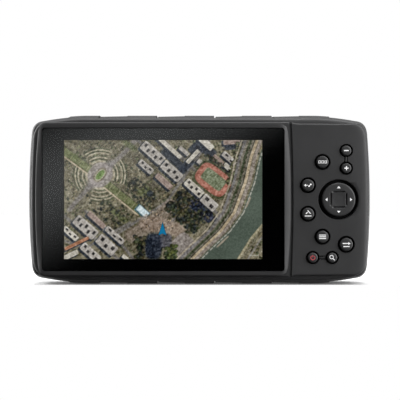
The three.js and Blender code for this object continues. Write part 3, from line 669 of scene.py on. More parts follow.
def grip_level(x):
    """Height of a grip above the case's skin: pads, a narrow notch to the right of each, then a slow rise."""
    nearest = round(x / GRIP_PITCH)
    if abs(nearest) > 2:
        return 0.0
    offset = x - nearest * GRIP_PITCH
    if abs(offset) <= PAD_HALF + 1e-6:
        return GRIP_RAISE
    if nearest < 2 and PAD_HALF < offset <= PAD_HALF + NOTCH + 1e-6:
        return -1.1
    along = (x + PAD_HALF) % GRIP_PITCH - 2 * PAD_HALF
    return -0.05 + 0.32 * along / (GRIP_PITCH - 2 * PAD_HALF)


def grip(name, side):
    """A rubber strip with five pads, let into the long edge of the case."""
    stations = set(np.linspace(-GRIP_ENDS, GRIP_ENDS, 140))
    notch_end = PAD_HALF + NOTCH
    for step in range(-2, 3):
        for end in (-PAD_HALF - 0.12, -PAD_HALF, PAD_HALF, PAD_HALF + 0.1, notch_end, notch_end + 0.1):
            stations.add(float(np.clip(step * GRIP_PITCH + end, -GRIP_ENDS, GRIP_ENDS)))
    rows = []
    for x in sorted(stations):
        outside = [(y, grip_level(x) * share) for y, share in GRIP_DEPTHS]
        underside = [(y, -1.3) for y in (GRIP_SPAN[1], 10, -1, -8, GRIP_SPAN[0])]
        rows.append([(x, y, MIDDLE_Z + side * (surface_at(x) - skin_inset(y) + height))
                     for y, height in outside + underside])
    make(name, skin(rows), MATERIALS["grip"], "case", [name.replace("strip", "grip")])


# ---------------- front housing

KEY_NAMES = ["page", "zoom_out", "zoom_in", "quit", "enter", "menu", "nav", "power", "find"]
KEY_HOLE = 1.18  # a key's hole as a multiple of its radius
BEZEL_LIP = 0.25  # gap between the lens and the bezel
BEZEL_ASIDE, BEZEL_ABOVE = 3.45, 2.1  # its reach beside the lens at mid-height, and above and below it
BEZEL_FALL = 1.75  # how much less it reaches beside the corners
WINDOW_WIDTH, WINDOW_HEIGHT = 112, 69  # the opening behind the lens
DISPLAY_ROOM_WIDTH, DISPLAY_ROOM_HEIGHT = 121, 77
LINKED_KEYS = (("zoom_out", "zoom_in"), ("power", "find"))
BRIDGE_WIDTH = 1.1
BRIDGE_SLOT = 2.1
CAP_SHORT = 0.4  # how much smaller than its radius a key's cap is
WELL_RADIUS = 10.95

# The keypad face as (depth, inset): crowned towards its edge, over a share of the inset above and below.
CROWN = [
    (0, 11), (0, 9.5), (0.03, 6.5), (0.11, 4.2), (0.26, 2.4), (0.5, 1.3), (0.85, 0.65), (1.4, 0.22),
    (2.2, 0.02),
]
CROWN_ALONG_Z = 0.12  # that share


def key_radius(name):
    """Radius that a key's cap and its hole are sized from: 1.2 mm less than its flange."""
    return face_of(f"key_{name}")[3] / 2 - 1.2


def bridge(first, second):
    """Middle of two linked keys, and how far apart they are, as (x, y, z)."""
    a, b = node_centre(f"key_{first}"), node_centre(f"key_{second}")
    return (a + b) / 2, np.abs(a - b)


def lens_outline(gap=0.0, corner=0.0):
    return rounded_rect(LENS_X, LENS_Z, LENS_WIDTH + 2 * gap, LENS_HEIGHT + 2 * gap, LENS_CORNER + corner, 10)


def bezel_rings():
    """Rings of the raised bezel, from the straight edge round the lens to its bowed outer edge."""
    inner = resample(lens_outline(BEZEL_LIP, 0.2), 260)
    along = np.roll(inner, -1, 0) - np.roll(inner, 1, 0)
    along /= np.linalg.norm(along, axis=1, keepdims=True)
    outwards = np.stack([along[:, 1], -along[:, 0]], 1)
    sides, ends = (outwards ** 2).T
    reach_aside = BEZEL_ASIDE - BEZEL_FALL * np.abs((inner[:, 1] - LENS_Z) / (LENS_HEIGHT / 2)) ** 2.4
    reach = reach_aside * sides + BEZEL_ABOVE * ends
    fall = sides + 0.15 * ends

    def spread(share, extra=0.0):
        return inner + outwards * (reach * share + extra)[:, None]

    def slope(share, depth):
        return [(x, FRONT + depth * drop, z) for (x, z), drop in zip(spread(share), fall)]

    return [
        at_depth(spread(-0.3), FRONT + 1.6),
        at_depth(spread(-0.3), FRONT + 0.05),
        at_depth(spread(0.0), FRONT),
        at_depth(spread(0.12), FRONT + 0.05),
        slope(0.5, 0.47),
        slope(0.85, 0.95),
        slope(0.96, 1.2),
        at_depth(spread(1.0), FRONT + 1.5),
        at_depth(spread(1.0, 0.12), FRONT + 2.4),
        at_depth(spread(1.0, 0.2), FRONT + 4.2),
    ]


def resample(points, count):
    """A closed outline with its points evenly spaced."""
    loop = np.vstack([points, points[:1]])
    length = np.concatenate([[0], np.cumsum(np.linalg.norm(np.diff(loop, axis=0), axis=1))])
    where = np.linspace(0, length[-1], count, endpoint=False)
    return np.stack([np.interp(where, length, loop[:, 0]), np.interp(where, length, loop[:, 1])], 1)


def front_shell():
    """The keypad face and the raised bezel, with the display's opening, the key holes and the pad's well."""
    rows = []
    for depth, inset in CROWN:
        inner = shrink(SHELL, inset)
        inner[:, 1] = SHELL[:, 1] + CROWN_ALONG_Z * (inner[:, 1] - SHELL[:, 1])
        rows.append(at_depth(inner, KEYPAD_FACE + depth))
    rows += [at_depth(SHELL, PARTING - 0.25), at_depth(shrink(SHELL, 0.25), PARTING)]
    shell = mesh_object("front_shell", skin(rows))
    combine(shell, skin(bezel_rings()), "UNION")

    foot = LENS_X + LENS_WIDTH / 2 + 3.6
    rising = np.linspace(-HALF_HEIGHT, HALF_HEIGHT, 40)
    groove = [(foot + side - 1.3 * (z / HALF_HEIGHT) ** 2, MIDDLE_Z + z)
              for side, heights in ((0.35, rising), (1.75, rising[::-1])) for z in heights]
    cutters = [
        prism(np.array(groove), KEYPAD_FACE - 0.5, KEYPAD_FACE + 0.75),
        prism(lens_outline(0.2, 0.2), FRONT - 1, FRONT + 2.2),
        prism(rounded_rect(LENS_X, LENS_Z, WINDOW_WIDTH, WINDOW_HEIGHT, 1), FRONT - 1, FRONT + 6),
        loft(SHELL, [(KEYPAD_BACK, 4.4), (PARTING + 2, 4.4)]),
        block(LENS_X, KEYPAD_BACK, MIDDLE_Z, DISPLAY_ROOM_WIDTH, 3.4, DISPLAY_ROOM_HEIGHT),
    ]
    for name in KEY_NAMES:
        x, _, z = node_centre(f"key_{name}")
        cutters.append(flared(circle(x, z, key_radius(name) * KEY_HOLE), KEYPAD_BACK + 1, KEYPAD_FACE, 0.16))
    well = ((0.45, KEYPAD_FACE - 1), (0.45, KEYPAD_FACE), (0.1, KEYPAD_FACE + 0.2), (-0.35, KEYPAD_BACK + 1))
    cutters.append(lathe(DPAD_X, DPAD_Z, [(WELL_RADIUS + wider, y) for wider, y in well], 96))
    for pair in LINKED_KEYS:
        middle, span = bridge(*pair)
        cutters.append(block(middle[0], KEYPAD_FACE, middle[2], max(span[0], BRIDGE_SLOT), 8,
                             max(span[2], BRIDGE_SLOT)))
    combine(shell, merge(*cutters), "DIFFERENCE")
    soften(shell, 0.1)
    level(shell)
    finish_piece(shell, MATERIALS["front"], "case", ["front_housing"])


# ---------------- display

def lens():
    """The glass over the display, and the black border printed behind it."""
    outline = lens_outline()
    glass = loft(outline, [
        (LENS_FRONT, 1.5), (LENS_FRONT, 0.3), (LENS_FRONT + 0.1, 0.1), (LENS_FRONT + 0.3, 0), (LENS_BACK, 0)])
    make("lens_glass_pane", glass, MATERIALS["glass"], "case", ["display_lens"])
    border = mesh_object("lens_border", prism(shrink(outline, 0.1), LENS_BACK + 0.03, LENS_BACK + 0.08))
    window = rounded_rect(LENS_X, LENS_Z, ACTIVE_WIDTH + 0.2, ACTIVE_HEIGHT + 0.2, 0.3, 3)
    combine(border, prism(window, LENS_BACK - 1, LENS_BACK + 1), "DIFFERENCE")
    finish_piece(border, MATERIALS["ink"], "case", ["lens_adhesive"])


# ---------------- keys

KEY_TOP = depth_of("key_page")[0]


def raised(points, x, z, top=KEY_TOP):
    """A thin solid that stands proud of a key, from an outline about the key's middle."""
    return prism(np.array(points) + (x, z), top - 0.05, top + 0.2)


def bar(x, z, width, height, turn=0.0):
    """A thin raised rectangle on a key, turned in the plane of the keypad."""
    corners = np.array([(-1, -1), (1, -1), (1, 1), (-1, 1)]) * (width / 2, height / 2)
    return raised(turned(corners, turn), x, z)


def ring_arc(x, z, radius, thickness, start, end):
    """A thin raised arc, from one angle to another in degrees."""
    angles = np.radians(np.linspace(start, end, 28))
    outer = np.stack([np.cos(angles), np.sin(angles)], 1)
    half = thickness / 2
    return raised(np.vstack([outer * (radius + half), outer[::-1] * (radius - half)]), x, z)


def frame_mark(x, z, width=1.25, height=1.5, line=0.26):
    """The outline of a small rectangle."""
    return [bar(x, z + s * (height - line) / 2, width, line) for s in (1, -1)] + \
           [bar(x + s * (width - line) / 2, z, line, height - 2 * line) for s in (1, -1)]


def legend(name, x, z):
    """The sign on a key, drawn without letters, from bars of (x, z, width, height, turn)."""
    def bars(*places):
        return [bar(x + dx, z + dz, *rest) for dx, dz, *rest in places]

    if name == "page":
        return [mark for dx in (-1.65, 0, 1.65) for mark in frame_mark(x + dx, z)]
    if name == "zoom_out":
        return bars((0, 0, 2.5, 0.55))
    if name == "zoom_in":
        return bars((0, 0, 2.3, 0.55), (0, 0.7, 0.55, 0.85), (0, -0.7, 0.55, 0.85))
    if name == "quit":
        tick = bars((1.0, 0, 2.2, 0.42, 45), (0.5, -0.5, 0.9, 0.42, -45), (1.5, 0.5, 0.9, 0.42, -45))
        return tick + [raised([(-2.3, 0), (-1.2, -0.8), (-1.2, 0.8)], x, z)] + bars((-0.75, 0, 0.9, 0.4))
    if name == "enter":
        return bars((-0.75, 0.45, 0.5, 1.3, -45), (0.55, 0.95, 0.5, 2.3, 42), (0, -1.15, 3.6, 0.5))
    if name == "menu":
        return bars(*((0, dz, 3.8, 0.45) for dz in (0.95, 0, -0.95)))
    if name == "nav":
        arrow = raised([(1.0, 1.3), (1.0, -0.2), (2.3, 0.55)], x, z)
        return bars((-0.5, 0.55, 3.2, 0.5)) + [arrow] + bars((0, -1.1, 3.4, 0.5))
    if name == "power":
        return [ring_arc(x, z, 1.15, 0.38, 125, 415)] + bars((0, 0.85, 0.38, 1.2))
    return [ring_arc(x - 0.4, z + 0.35, 0.95, 0.36, 0, 352)] + bars((0.85, -0.9, 1.3, 0.42, -45))


def key(name):
    """A round key: a cap with a rolled edge, a flange that the shell holds, and a stem down to its dome."""
    node = f"key_{name}"
    x, z, _, _ = face_of(node)
    front, back = depth_of(node)
    radius = key_radius(name) - CAP_SHORT
    shoulder = front + 3.35
    profile = [
        (0.05, front), (radius * 0.55, front), (radius * 0.8, front + 0.03), (radius - 0.32, front + 0.12),
        (radius - 0.12, front + 0.28), (radius - 0.02, front + 0.6), (radius, front + 0.9),
        (radius, shoulder), (radius + 1.6, shoulder), (radius + 1.6, shoulder + 0.65),
        (1.6, shoulder + 0.65), (1.6, back), (0.05, back),
    ]
    sign = MATERIALS["power" if name == "power" else "legend"]
    piece = inlaid(f"{name}_key", lathe(x, z, profile), legend(name, x, z), [MATERIALS["key"], sign],
                   node, [node])
    # The sides and foot of the key get painted shade.
    paint_hole_shade(piece, x, z, radius - 0.06, front + 0.5)


def paint_hole_shade(piece, x, z, radius, depth):
    """Paints shade where a hole keeps a piece in shade: faces deeper than a depth, or farther than a radius
    from the axis, such as the sides and foot of a key, get a near-black material as painted shade.
    """
    piece.data.materials.append(MATERIALS["skirt"])
    last = len(piece.data.materials) - 1
    for face in piece.data.polygons:
        where = face.center / MM
        if where.y > depth or math.hypot(where.x - x, where.z - z) > radius:
            face.material_index = last


DPAD_RADIUS = 9.2
DPAD_FLANGE = 10.9


def dpad():
    """A round rocker: a crowned rim with four arrows, and four short grooves round its sunk middle."""
    front, back = depth_of("dpad")
    rim = front + 0.15

    def face_y(r, angle):
        across, up = abs(r * math.cos(angle)), abs(r * math.sin(angle))
        side, along = max(across, up), min(across, up)
        crown = rim + 0.25 - 0.25 * math.cos(min(1.0, abs(r - 6.6) / 4) * math.pi / 2)
        edge = max(0.0, (r - (DPAD_RADIUS - 0.7)) / 0.7)
        groove = math.exp(-((side - 4.2) / 0.38) ** 4) / (1 + math.exp((along - 3.1) / 0.15))
        return crown + 0.8 * groove + 0.75 * edge ** 2.5

    count = 160
    angles = np.arange(count) * 2 * math.pi / count
    radii = [0.05, *np.linspace(0.9, 3.6, 6), *np.linspace(3.74, 5.7, 15), *np.linspace(6.0, DPAD_RADIUS, 15)]
    rings = [[(DPAD_X + r * math.cos(a), face_y(r, a), DPAD_Z + r * math.sin(a)) for a in angles]
             for r in radii]
    for r, y in ((DPAD_RADIUS, back - 0.5), (DPAD_FLANGE, back - 0.5), (DPAD_FLANGE, back), (0.05, back)):
        rings.append(at_depth(circle(DPAD_X, DPAD_Z, r, count), y))
    arrows = [raised(turned([(7.35, 0), (6.15, 0.95), (6.15, -0.95)], 90 * quarter), DPAD_X, DPAD_Z, rim)
              for quarter in range(4)]
    piece = inlaid("four_way_pad", skin(rings), arrows, [MATERIALS["key"], MATERIALS["legend"]],
                   "dpad", ["dpad"])
    # The pad's sides and foot get painted shade.
    paint_hole_shade(piece, DPAD_X, DPAD_Z, DPAD_RADIUS - 0.08, front + 1.1)


def key_mat():
    """The rubber sheet behind the keys, with the two bars that show in the slots between linked keys."""
    x, z, width, height = face_of("key_mat")
    front, back = depth_of("key_mat")
    sheet = mesh_object("rubber_key_mat", prism(rounded_rect(x, z, width, height, 4), back - 0.8, back))
    stems = [(node_centre(f"key_{name}"), 2.2) for name in KEY_NAMES]
    posts = [(centre, 3.4) for centre in SCREWS]
    holes = [prism(circle(centre[0], centre[2], radius), front, back + 1)
             for centre, radius in stems + [(node_centre("dpad"), 12.4)] + posts]
    combine(sheet, merge(*holes), "DIFFERENCE")
    for pair in LINKED_KEYS:
        middle, apart = bridge(*pair)
        radius = key_radius(pair[0])
        for clear, top, depth in ((radius * KEY_HOLE - 0.1, KEYPAD_FACE + 0.15, 1.3),
                                  (radius + 1.45, KEYPAD_FACE + 0.9, back - KEYPAD_FACE - 1.1)):
            gap = np.maximum(apart - 2 * clear, BRIDGE_WIDTH)
            combine(sheet, block(middle[0], top + depth / 2, middle[2], gap[0], depth, gap[2]), "UNION")
    soften(sheet, 0.12)
    finish_piece(sheet, MATERIALS["key"], "case", ["key_mat"])
    # The deep parts of the mat, behind the keys' holes, get painted shade.
    paint_hole_shade(sheet, x, z, 100, KEYPAD_FACE + 0.9)


# ---------------- the picture on the display

class Picture:
    """A colour picture painted by formula, in millimetres from the display's lower left corner."""

    def __init__(self, width, height, per_mm, seed):
        self.per_mm = per_mm
        self.columns, self.rows = round(width * per_mm), round(height * per_mm)
        across, up = (np.arange(self.columns) + 0.5) / per_mm, (np.arange(self.rows) + 0.5) / per_mm
        self.x, self.z = np.meshgrid(across, up)
        self.pixels = np.zeros((self.rows, self.columns, 3))
        self.random = np.random.default_rng(seed)

    def cloud(self, size):
        """Smooth noise from 0 to 1 with features of a size."""
        rows, columns = int(self.rows / size / self.per_mm) + 3, int(self.columns / size / self.per_mm) + 3
        grid = self.random.random((rows, columns))
        u, v = self.x / size, self.z / size
        i, j = u.astype(int), v.astype(int)
        fu, fv = u - i, v - j
        fu, fv = fu * fu * (3 - 2 * fu), fv * fv * (3 - 2 * fv)
        below = grid[j, i] * (1 - fu) + grid[j, i + 1] * fu
        above = grid[j + 1, i] * (1 - fu) + grid[j + 1, i + 1] * fu
        return below * (1 - fv) + above * fv

    def blend(self, mask, colour, window=np.s_[:, :]):
        area = self.pixels[window]
        area += (np.array(colour) - area) * np.clip(mask, 0, 1)[..., None]

    def window(self, x, z, reach):
        """The part of the picture within reach of a point."""
        low = [max(0, int((c - reach) * self.per_mm)) for c in (x, z)]
        high = [max(0, int((c + reach) * self.per_mm) + 2) for c in (x, z)]
        return np.s_[low[1]:high[1], low[0]:high[0]]

    def stroke(self, points, width, colour, strength=1.0, soft=0.12):
        """A line of a width through points."""
        distance = np.full(self.x.shape, 1e9)
        for (x0, z0), (x1, z1) in zip(points, points[1:]):
            dx, dz = x1 - x0, z1 - z0
            t = np.clip(((self.x - x0) * dx + (self.z - z0) * dz) / (dx * dx + dz * dz), 0, 1)
            distance = np.minimum(distance, np.hypot(self.x - x0 - t * dx, self.z - z0 - t * dz))
        self.blend(strength * np.clip((width / 2 - distance) / soft + 0.5, 0, 1), colour)

    def patch(self, x, z, width, height, turn, colour, strength=1.0, power=12.0, soft=0.12):
        """A turned rectangle, or an ellipse where the power is 2."""
        window = self.window(x, z, math.hypot(width, height) / 2 + 1)
        angle = math.radians(turn)
        dx, dz = self.x[window] - x, self.z[window] - z
        u = np.abs(dx * math.cos(angle) + dz * math.sin(angle)) / (width / 2)
        v = np.abs(dz * math.cos(angle) - dx * math.sin(angle)) / (height / 2)
        inside = (1 - (u ** power + v ** power) ** (1 / power)) * min(width, height) / 2
        self.blend(strength * np.clip(inside / soft + 0.5, 0, 1), colour, window)

    def arc(self, x, z, radius, start, end, width, colour, strength=1.0):
        distance = np.abs(np.hypot(self.x - x, self.z - z) - radius)
        angle = np.degrees(np.arctan2(self.z - z, self.x - x)) % 360
        inside = (angle - start) % 360 <= (end - start)
        self.blend(strength * inside * np.clip((width / 2 - distance) / 0.12 + 0.5, 0, 1), colour)

    @staticmethod
    def beside(x, z, along, across, turn):
        """The place some way along and across a direction from another place."""
        angle = math.radians(turn)
        return (x + along * math.cos(angle) - across * math.sin(angle),
                z + along * math.sin(angle) + across * math.cos(angle))

    def trees(self, x, z, spread_x, spread_z, turn, count, shades, size=(0.45, 1.1)):
        """A wood of round crowns, each with a shaded foot and a sunlit side."""
        for _ in range(count):
            a, b = self.random.uniform(-0.5, 0.5, 2) * (spread_x, spread_z)
            cx, cz = self.beside(x, z, a, b, turn)
            radius = self.random.uniform(*size)
            shade = np.array(shades[self.random.integers(len(shades))]) * self.random.uniform(0.8, 1.2)
            if not (0 < cx < self.columns / self.per_mm and 0 < cz < self.rows / self.per_mm):
                continue
            self.patch(cx - 0.25, cz + 0.2, 2.1 * radius, 2.1 * radius, 0, shade * 0.35, 0.7, 2, 0.3)
            self.patch(cx, cz, 2 * radius, 2 * radius, 0, shade, 0.9, 2, 0.3)
            self.patch(cx + 0.2 * radius, cz - 0.2 * radius, radius, radius, 0, shade * 1.35, 0.5, 2, 0.4)

    def building(self, x, z, length, width, turn, roof, courts):
        """A block seen from above: its shadow, its roof, a lit parapet and small dark courts."""
        self.patch(x - 0.85, z - 0.75, length + 0.5, width + 0.8, turn, (0.10, 0.13, 0.18), 0.85)
        self.patch(x, z, length, width, turn, np.array(roof) * 1.12)
        self.patch(x, z, length - 0.7, width - 0.7, turn, roof)
        for i in range(courts):
            along = (i - (courts - 1) / 2) * (length - 1) / courts
            cx, cz = self.beside(x, z, along, 0.13 * width * (-1) ** i, turn)
            self.patch(cx, cz, length / courts * 0.46, width * 0.36, turn, (0.13, 0.12, 0.12), 0.95)
            self.patch(cx + 0.25, cz + width * 0.3, length / courts * 0.5, 0.3, turn, (0.95, 0.92, 0.88), 0.5)

    @staticmethod
    def along(points, gap):
        """Places at a gap along a line through points, each with the line's direction in degrees."""
        for (x0, z0), (x1, z1) in zip(points, points[1:]):
            length = math.hypot(x1 - x0, z1 - z0)
            for t in np.arange(gap / 2, length, gap) / length:
                yield x0 + t * (x1 - x0), z0 + t * (z1 - z0), math.degrees(math.atan2(z1 - z0, x1 - x0))


LEAVES = [
    (0.26, 0.28, 0.17), (0.33, 0.34, 0.22), (0.40, 0.39, 0.26), (0.20, 0.23, 0.15), (0.46, 0.42, 0.31),
    (0.37, 0.33, 0.26),
]
DARK_LEAVES = [
    (0.15, 0.18, 0.13), (0.21, 0.23, 0.14), (0.27, 0.26, 0.17), (0.13, 0.15, 0.15), (0.30, 0.27, 0.20),
]
DRY_GROUND = [(0.58, 0.53, 0.42), (0.66, 0.62, 0.54), (0.52, 0.47, 0.34)]
PAVING = (0.66, 0.61, 0.53)
ROAD = (0.45, 0.43, 0.43)
ROOF = (0.66, 0.63, 0.60)
BRICK = (0.58, 0.50, 0.46)
PALE = (0.74, 0.71, 0.66)
LAWN = (0.41, 0.43, 0.26)
SHADE = (0.12, 0.15, 0.21)
PICTURE_GAIN = 1.065
PICTURE_CELLS_PER_MM = 20 / 3
OVAL = (19.8, 46.0)
SLANT = -42  # direction of the blocks between the park and the river, in degrees
BANK = [(110, 66), (106.4, 56), (103.2, 42), (97.2, 25.6), (90, 15.7), (78, 4.3), (70, -4)]
FAR_BANK = [(91, -4), (94.4, 0), (101.5, 11.4), (108, 19.2), (125, 40)]


def shifted(points, dx):
    return [(x + dx, z) for x, z in points]


def paint_park(town):
    """The park at the upper left: a lawn and an avenue that cross at an oval, with curved hedges round it."""
    for radius in (7.6, 9.6, 12.0, 13.6):
        path = 0.6 if radius > 8 else 1.4
        for start in (-38, 52, 142, 232):
            town.arc(*OVAL, radius, start + 14, start + 76, path, (0.80, 0.75, 0.65), 0.7)
            town.arc(*OVAL, radius + 0.9, start + 16, start + 74, 0.8, (0.24, 0.27, 0.17), 0.6)
    for line in (((-2, 60.5), (14.5, 48.5)), ((23.5, 41.0), (42.0, 26.0))):
        town.stroke(line, 5.0, (0.31, 0.31, 0.21), 0.9, 0.4)
        town.stroke(line, 3.8, LAWN, 0.9)
        town.stroke([(x - 1.5, z - 2) for x, z in line], 0.75, (0.74, 0.67, 0.56))
        for x, z, turn in town.along(line, 5.3):
            town.patch(x, z, 0.4, 4.0, turn, (0.62, 0.58, 0.46), 0.8)
    town.stroke([(3, 27), (9, 34), OVAL, (33, 58), (40, 66)], 2.4, (0.50, 0.47, 0.46), 0.8, 1.0)
    for width, height, turn, colour, strength, power, soft in (
            (20, 7.5, 47, (0.50, 0.47, 0.46), 0.85, 2.0, 1.5),
            (13.6, 12.6, 45, (0.60, 0.56, 0.54), 0.9, 2.4, 0.6),
            (9.0, 5.6, 48, (0.48, 0.44, 0.36), 1, 2.2, 0.3),
            (7.4, 4.1, 48, (0.66, 0.63, 0.55), 1, 2.2, 0.3),
            (6.4, 3.1, 48, (0.40, 0.50, 0.24), 1, 2.2, 0.3)):
        town.patch(*OVAL, width, height, turn, colour, strength, power, soft)
    for place in ((30, 24, 12, 3.4, -40), (44, 37, 7, 5, 20), (36, 62, 9, 3, -35), (6, 56, 4, 3, 0)):
        town.patch(*place, (0.34, 0.38, 0.20), 0.6, 3, 1.0)
    town.trees(26, 24, 18, 9, -40, 90, DARK_LEAVES, (0.3, 0.7))
    town.trees(42, 36, 16, 10, -40, 110, DARK_LEAVES, (0.3, 0.8))
    town.patch(47.0, 35.8, 3.6, 3.6, 0, (0.15, 0.18, 0.21), 0.85, 2, 0.6)


def paint_streets(town):
    """The streets, and the shade that the blocks throw on them."""
    for *line, width in (((39, 66), (66, 41), (88, 21), 1.7), ((53, 66), (74, 46), (92, 34), 1.6),
                         ((26, 12), (56, 31), (80, 66), 1.5), ((-2, 25), (16, 12), (33, -3), 1.7),
                         ((12, 26), (31, 9), (40, -3), 1.6), ((-2, 11), (12, 6), (36, 20), 1.3),
                         ((38, -2), (62, 24), (78, 40), 1.6)):
        town.stroke(line, width, ROAD, 0.75, 0.3)
    for place in ((60, 54, 17, 4.4, SLANT), (66, 50, 12, 4, 46), (77, 60, 13, 5, -30),
                  (52, 55, 14, 2.4, SLANT), (93, 62, 11, 4, 10), (75, 34, 14, 1.6, SLANT),
                  (71, 60, 6, 5, 46)):
        town.patch(*place, SHADE, 0.8, 6, 0.5)


def paint_blocks(town):
    """Blocks between the park and the river, and those at the lower left, each with its number of courts."""
    for x, z, length, width, courts, roof in (
            (48.4, 58.0, 14.5, 5.5, 5, ROOF), (44.8, 50.4, 9.2, 3.4, 3, ROOF), (58.8, 48, 12.8, 5.4, 4, ROOF),
            (54.6, 42.4, 11, 3.2, 0, BRICK), (71, 38.8, 11.8, 4.4, 4, PALE), (79.3, 30.8, 9.6, 5.2, 2, ROOF),
            (57.5, 61, 17, 2.2, 0, PALE), (65.5, 59, 6.5, 2.0, 0, ROOF), (77.5, 63.4, 9.5, 3.4, 0, PALE),
            (83.6, 53.6, 7, 4, 0, BRICK), (90.2, 55, 9, 3, 2, ROOF), (89.2, 50.4, 4.6, 2.6, 0, PALE),
            (11.8, 17.4, 14.5, 6, 5, ROOF), (23.4, 7.8, 12, 6, 3, ROOF), (17.8, 21.4, 12, 2.8, 0, BRICK),
            (27.8, 13, 12.4, 3.2, 3, ROOF), (3.6, 14, 10, 3, 3, PALE), (14.6, 3.6, 12.5, 4.4, 4, ROOF),
            (33.5, 0.8, 4, 2, 0, PALE)):
        town.building(x, z, length, width, SLANT, roof, courts)
    for plain_block in ((70.4, 56, 9.4, 2.2, 47, PALE), (74, 53.2, 2.6, 2.4, 47, ROOF),
                        (91.5, 64, 9, 2.6, 5, BRICK), (7, 8.6, 14.5, 1.7, 26, (0.66, 0.45, 0.33)),
                        (3.6, 2.2, 9, 2.6, 26, PALE)):
        town.building(*plain_block, 0)
    town.patch(42.7, 26.0, 8.2, 4.4, SLANT, (0.20, 0.34, 0.38))
    town.patch(43.0, 26.1, 7.0, 3.3, SLANT, (0.80, 0.86, 0.88))


def paint_sports_ground(town):
    """A running track with its field, and the trees above it and towards the river."""
    turn = -38
    town.patch(81.4, 43.4, 21.5, 15.0, turn, (0.27, 0.29, 0.19), 0.8, 5, 0.5)
    town.patch(81.4, 43.4, 19.6, 13.2, turn, (0.63, 0.39, 0.33), 1, 3.6)
    town.patch(81.4, 43.4, 18.2, 11.8, turn, (0.68, 0.44, 0.37), 0.8, 3.4)
    town.patch(81.6, 43.6, 13.4, 7.4, turn, (0.46, 0.49, 0.38), 1, 7)
    for offset in (-3.3, 0, 3.3):
        town.patch(81.6 + 0.79 * offset, 43.6 - 0.62 * offset, 0.3, 7.0, turn, (0.62, 0.63, 0.54), 0.7)
    town.trees(86.0, 50.6, 21, 2.5, turn, 70, DARK_LEAVES, (0.3, 0.6))
    town.trees(94, 52, 5, 24, -14, 150, LEAVES, (0.3, 0.8))


def paint_square(town):
    """The square with the marker, the woods to its right, and the shade below it."""
    town.stroke([(37, 13), (48, 19), (58, 29)], 7.5, (0.53, 0.47, 0.42), 0.8, 1.5)
    town.stroke([(45, 20), (62, 16)], 8.0, (0.58, 0.50, 0.44), 0.8, 1.5)
    town.patch(64.5, 7.5, 13, 11, 44, (0.53, 0.49, 0.47), 0.9, 4, 0.6)
    stalls = [(0.60, 0.52, 0.44), (0.40, 0.35, 0.31), (0.70, 0.60, 0.48)]
    town.trees(52, 21, 20, 11, 10, 90, stalls, (0.15, 0.4))
    town.trees(67.5, 26, 21, 15, SLANT, 430, DARK_LEAVES)
    town.trees(76, 26, 5, 17, 48, 60, [SHADE, (0.17, 0.18, 0.24)], (0.5, 0.9))
    town.trees(44, 6, 11, 13, 0, 120, DARK_LEAVES)
    town.patch(49.0, 7.0, 9.0, 14.5, -4, SHADE, 0.9, 3, 1.2)
    town.patch(55.5, 10.0, 6.5, 8.0, -8, (0.27, 0.27, 0.32), 0.8, 3, 1.2)
    town.trees(58.5, 3.5, 6, 8, 0, 60, [(0.27, 0.31, 0.16), (0.34, 0.36, 0.20), (0.18, 0.22, 0.14)])


def paint_river(town):
    """The river, its quays, the roads along them and what moors there. Gives back where the water is."""
    for dx, width, colour in (
            (-5.6, 7.5, (0.44, 0.41, 0.36)), (-10.4, 1.5, ROAD), (-7.6, 1.2, (0.24, 0.27, 0.18)),
            (-2.0, 1.7, (0.57, 0.52, 0.48)), (-4.2, 1.5, (0.72, 0.64, 0.52)), (-5.4, 0.5, (0.24, 0.24, 0.20)),
            (-12.4, 0.8, PAVING)):
        town.stroke(shifted(BANK, dx), width, colour, 0.9, 0.3)
    near = np.interp(town.z, [z for _, z in BANK[::-1]], [x for x, _ in BANK[::-1]])
    far = np.interp(town.z, [z for _, z in FAR_BANK], [x for x, _ in FAR_BANK])
    water = (0.305 + 0.03 * town.cloud(0.8) + 0.03 * town.cloud(5))[..., None] * np.array((0.93, 1.06, 0.93))
    river = np.clip((town.x - near) / 0.25, 0, 1) * np.clip((far - town.x) / 0.25, 0, 1)
    town.pixels += (water - town.pixels) * river[..., None]
    for dx, width, colour in ((0.6, 1.1, (0.66, 0.62, 0.50)), (3.2, 0.9, (0.42, 0.40, 0.33)),
                              (6.0, 1.0, (0.55, 0.53, 0.50))):
        town.stroke(shifted(FAR_BANK[:4], dx), width, colour, 0.85, 0.3)
    for x, z, turn in town.along(BANK, 2.6):
        town.patch(x + 0.9, z - 0.2, 2.2, 0.7, turn, (0.78, 0.75, 0.70), 0.75, 3)
        town.patch(x - 6.6, z + 0.6, 1.2, 1.0, turn, (0.20, 0.22, 0.15), 0.8, 2, 0.3)
    for x, z, turn in ((87.6, 10.6, 42), (85.6, 8.6, 42), (100.6, 31.0, 66)):
        town.patch(x, z, 6.2, 0.9, turn, (0.62, 0.57, 0.50), 0.9, 4)
    return river


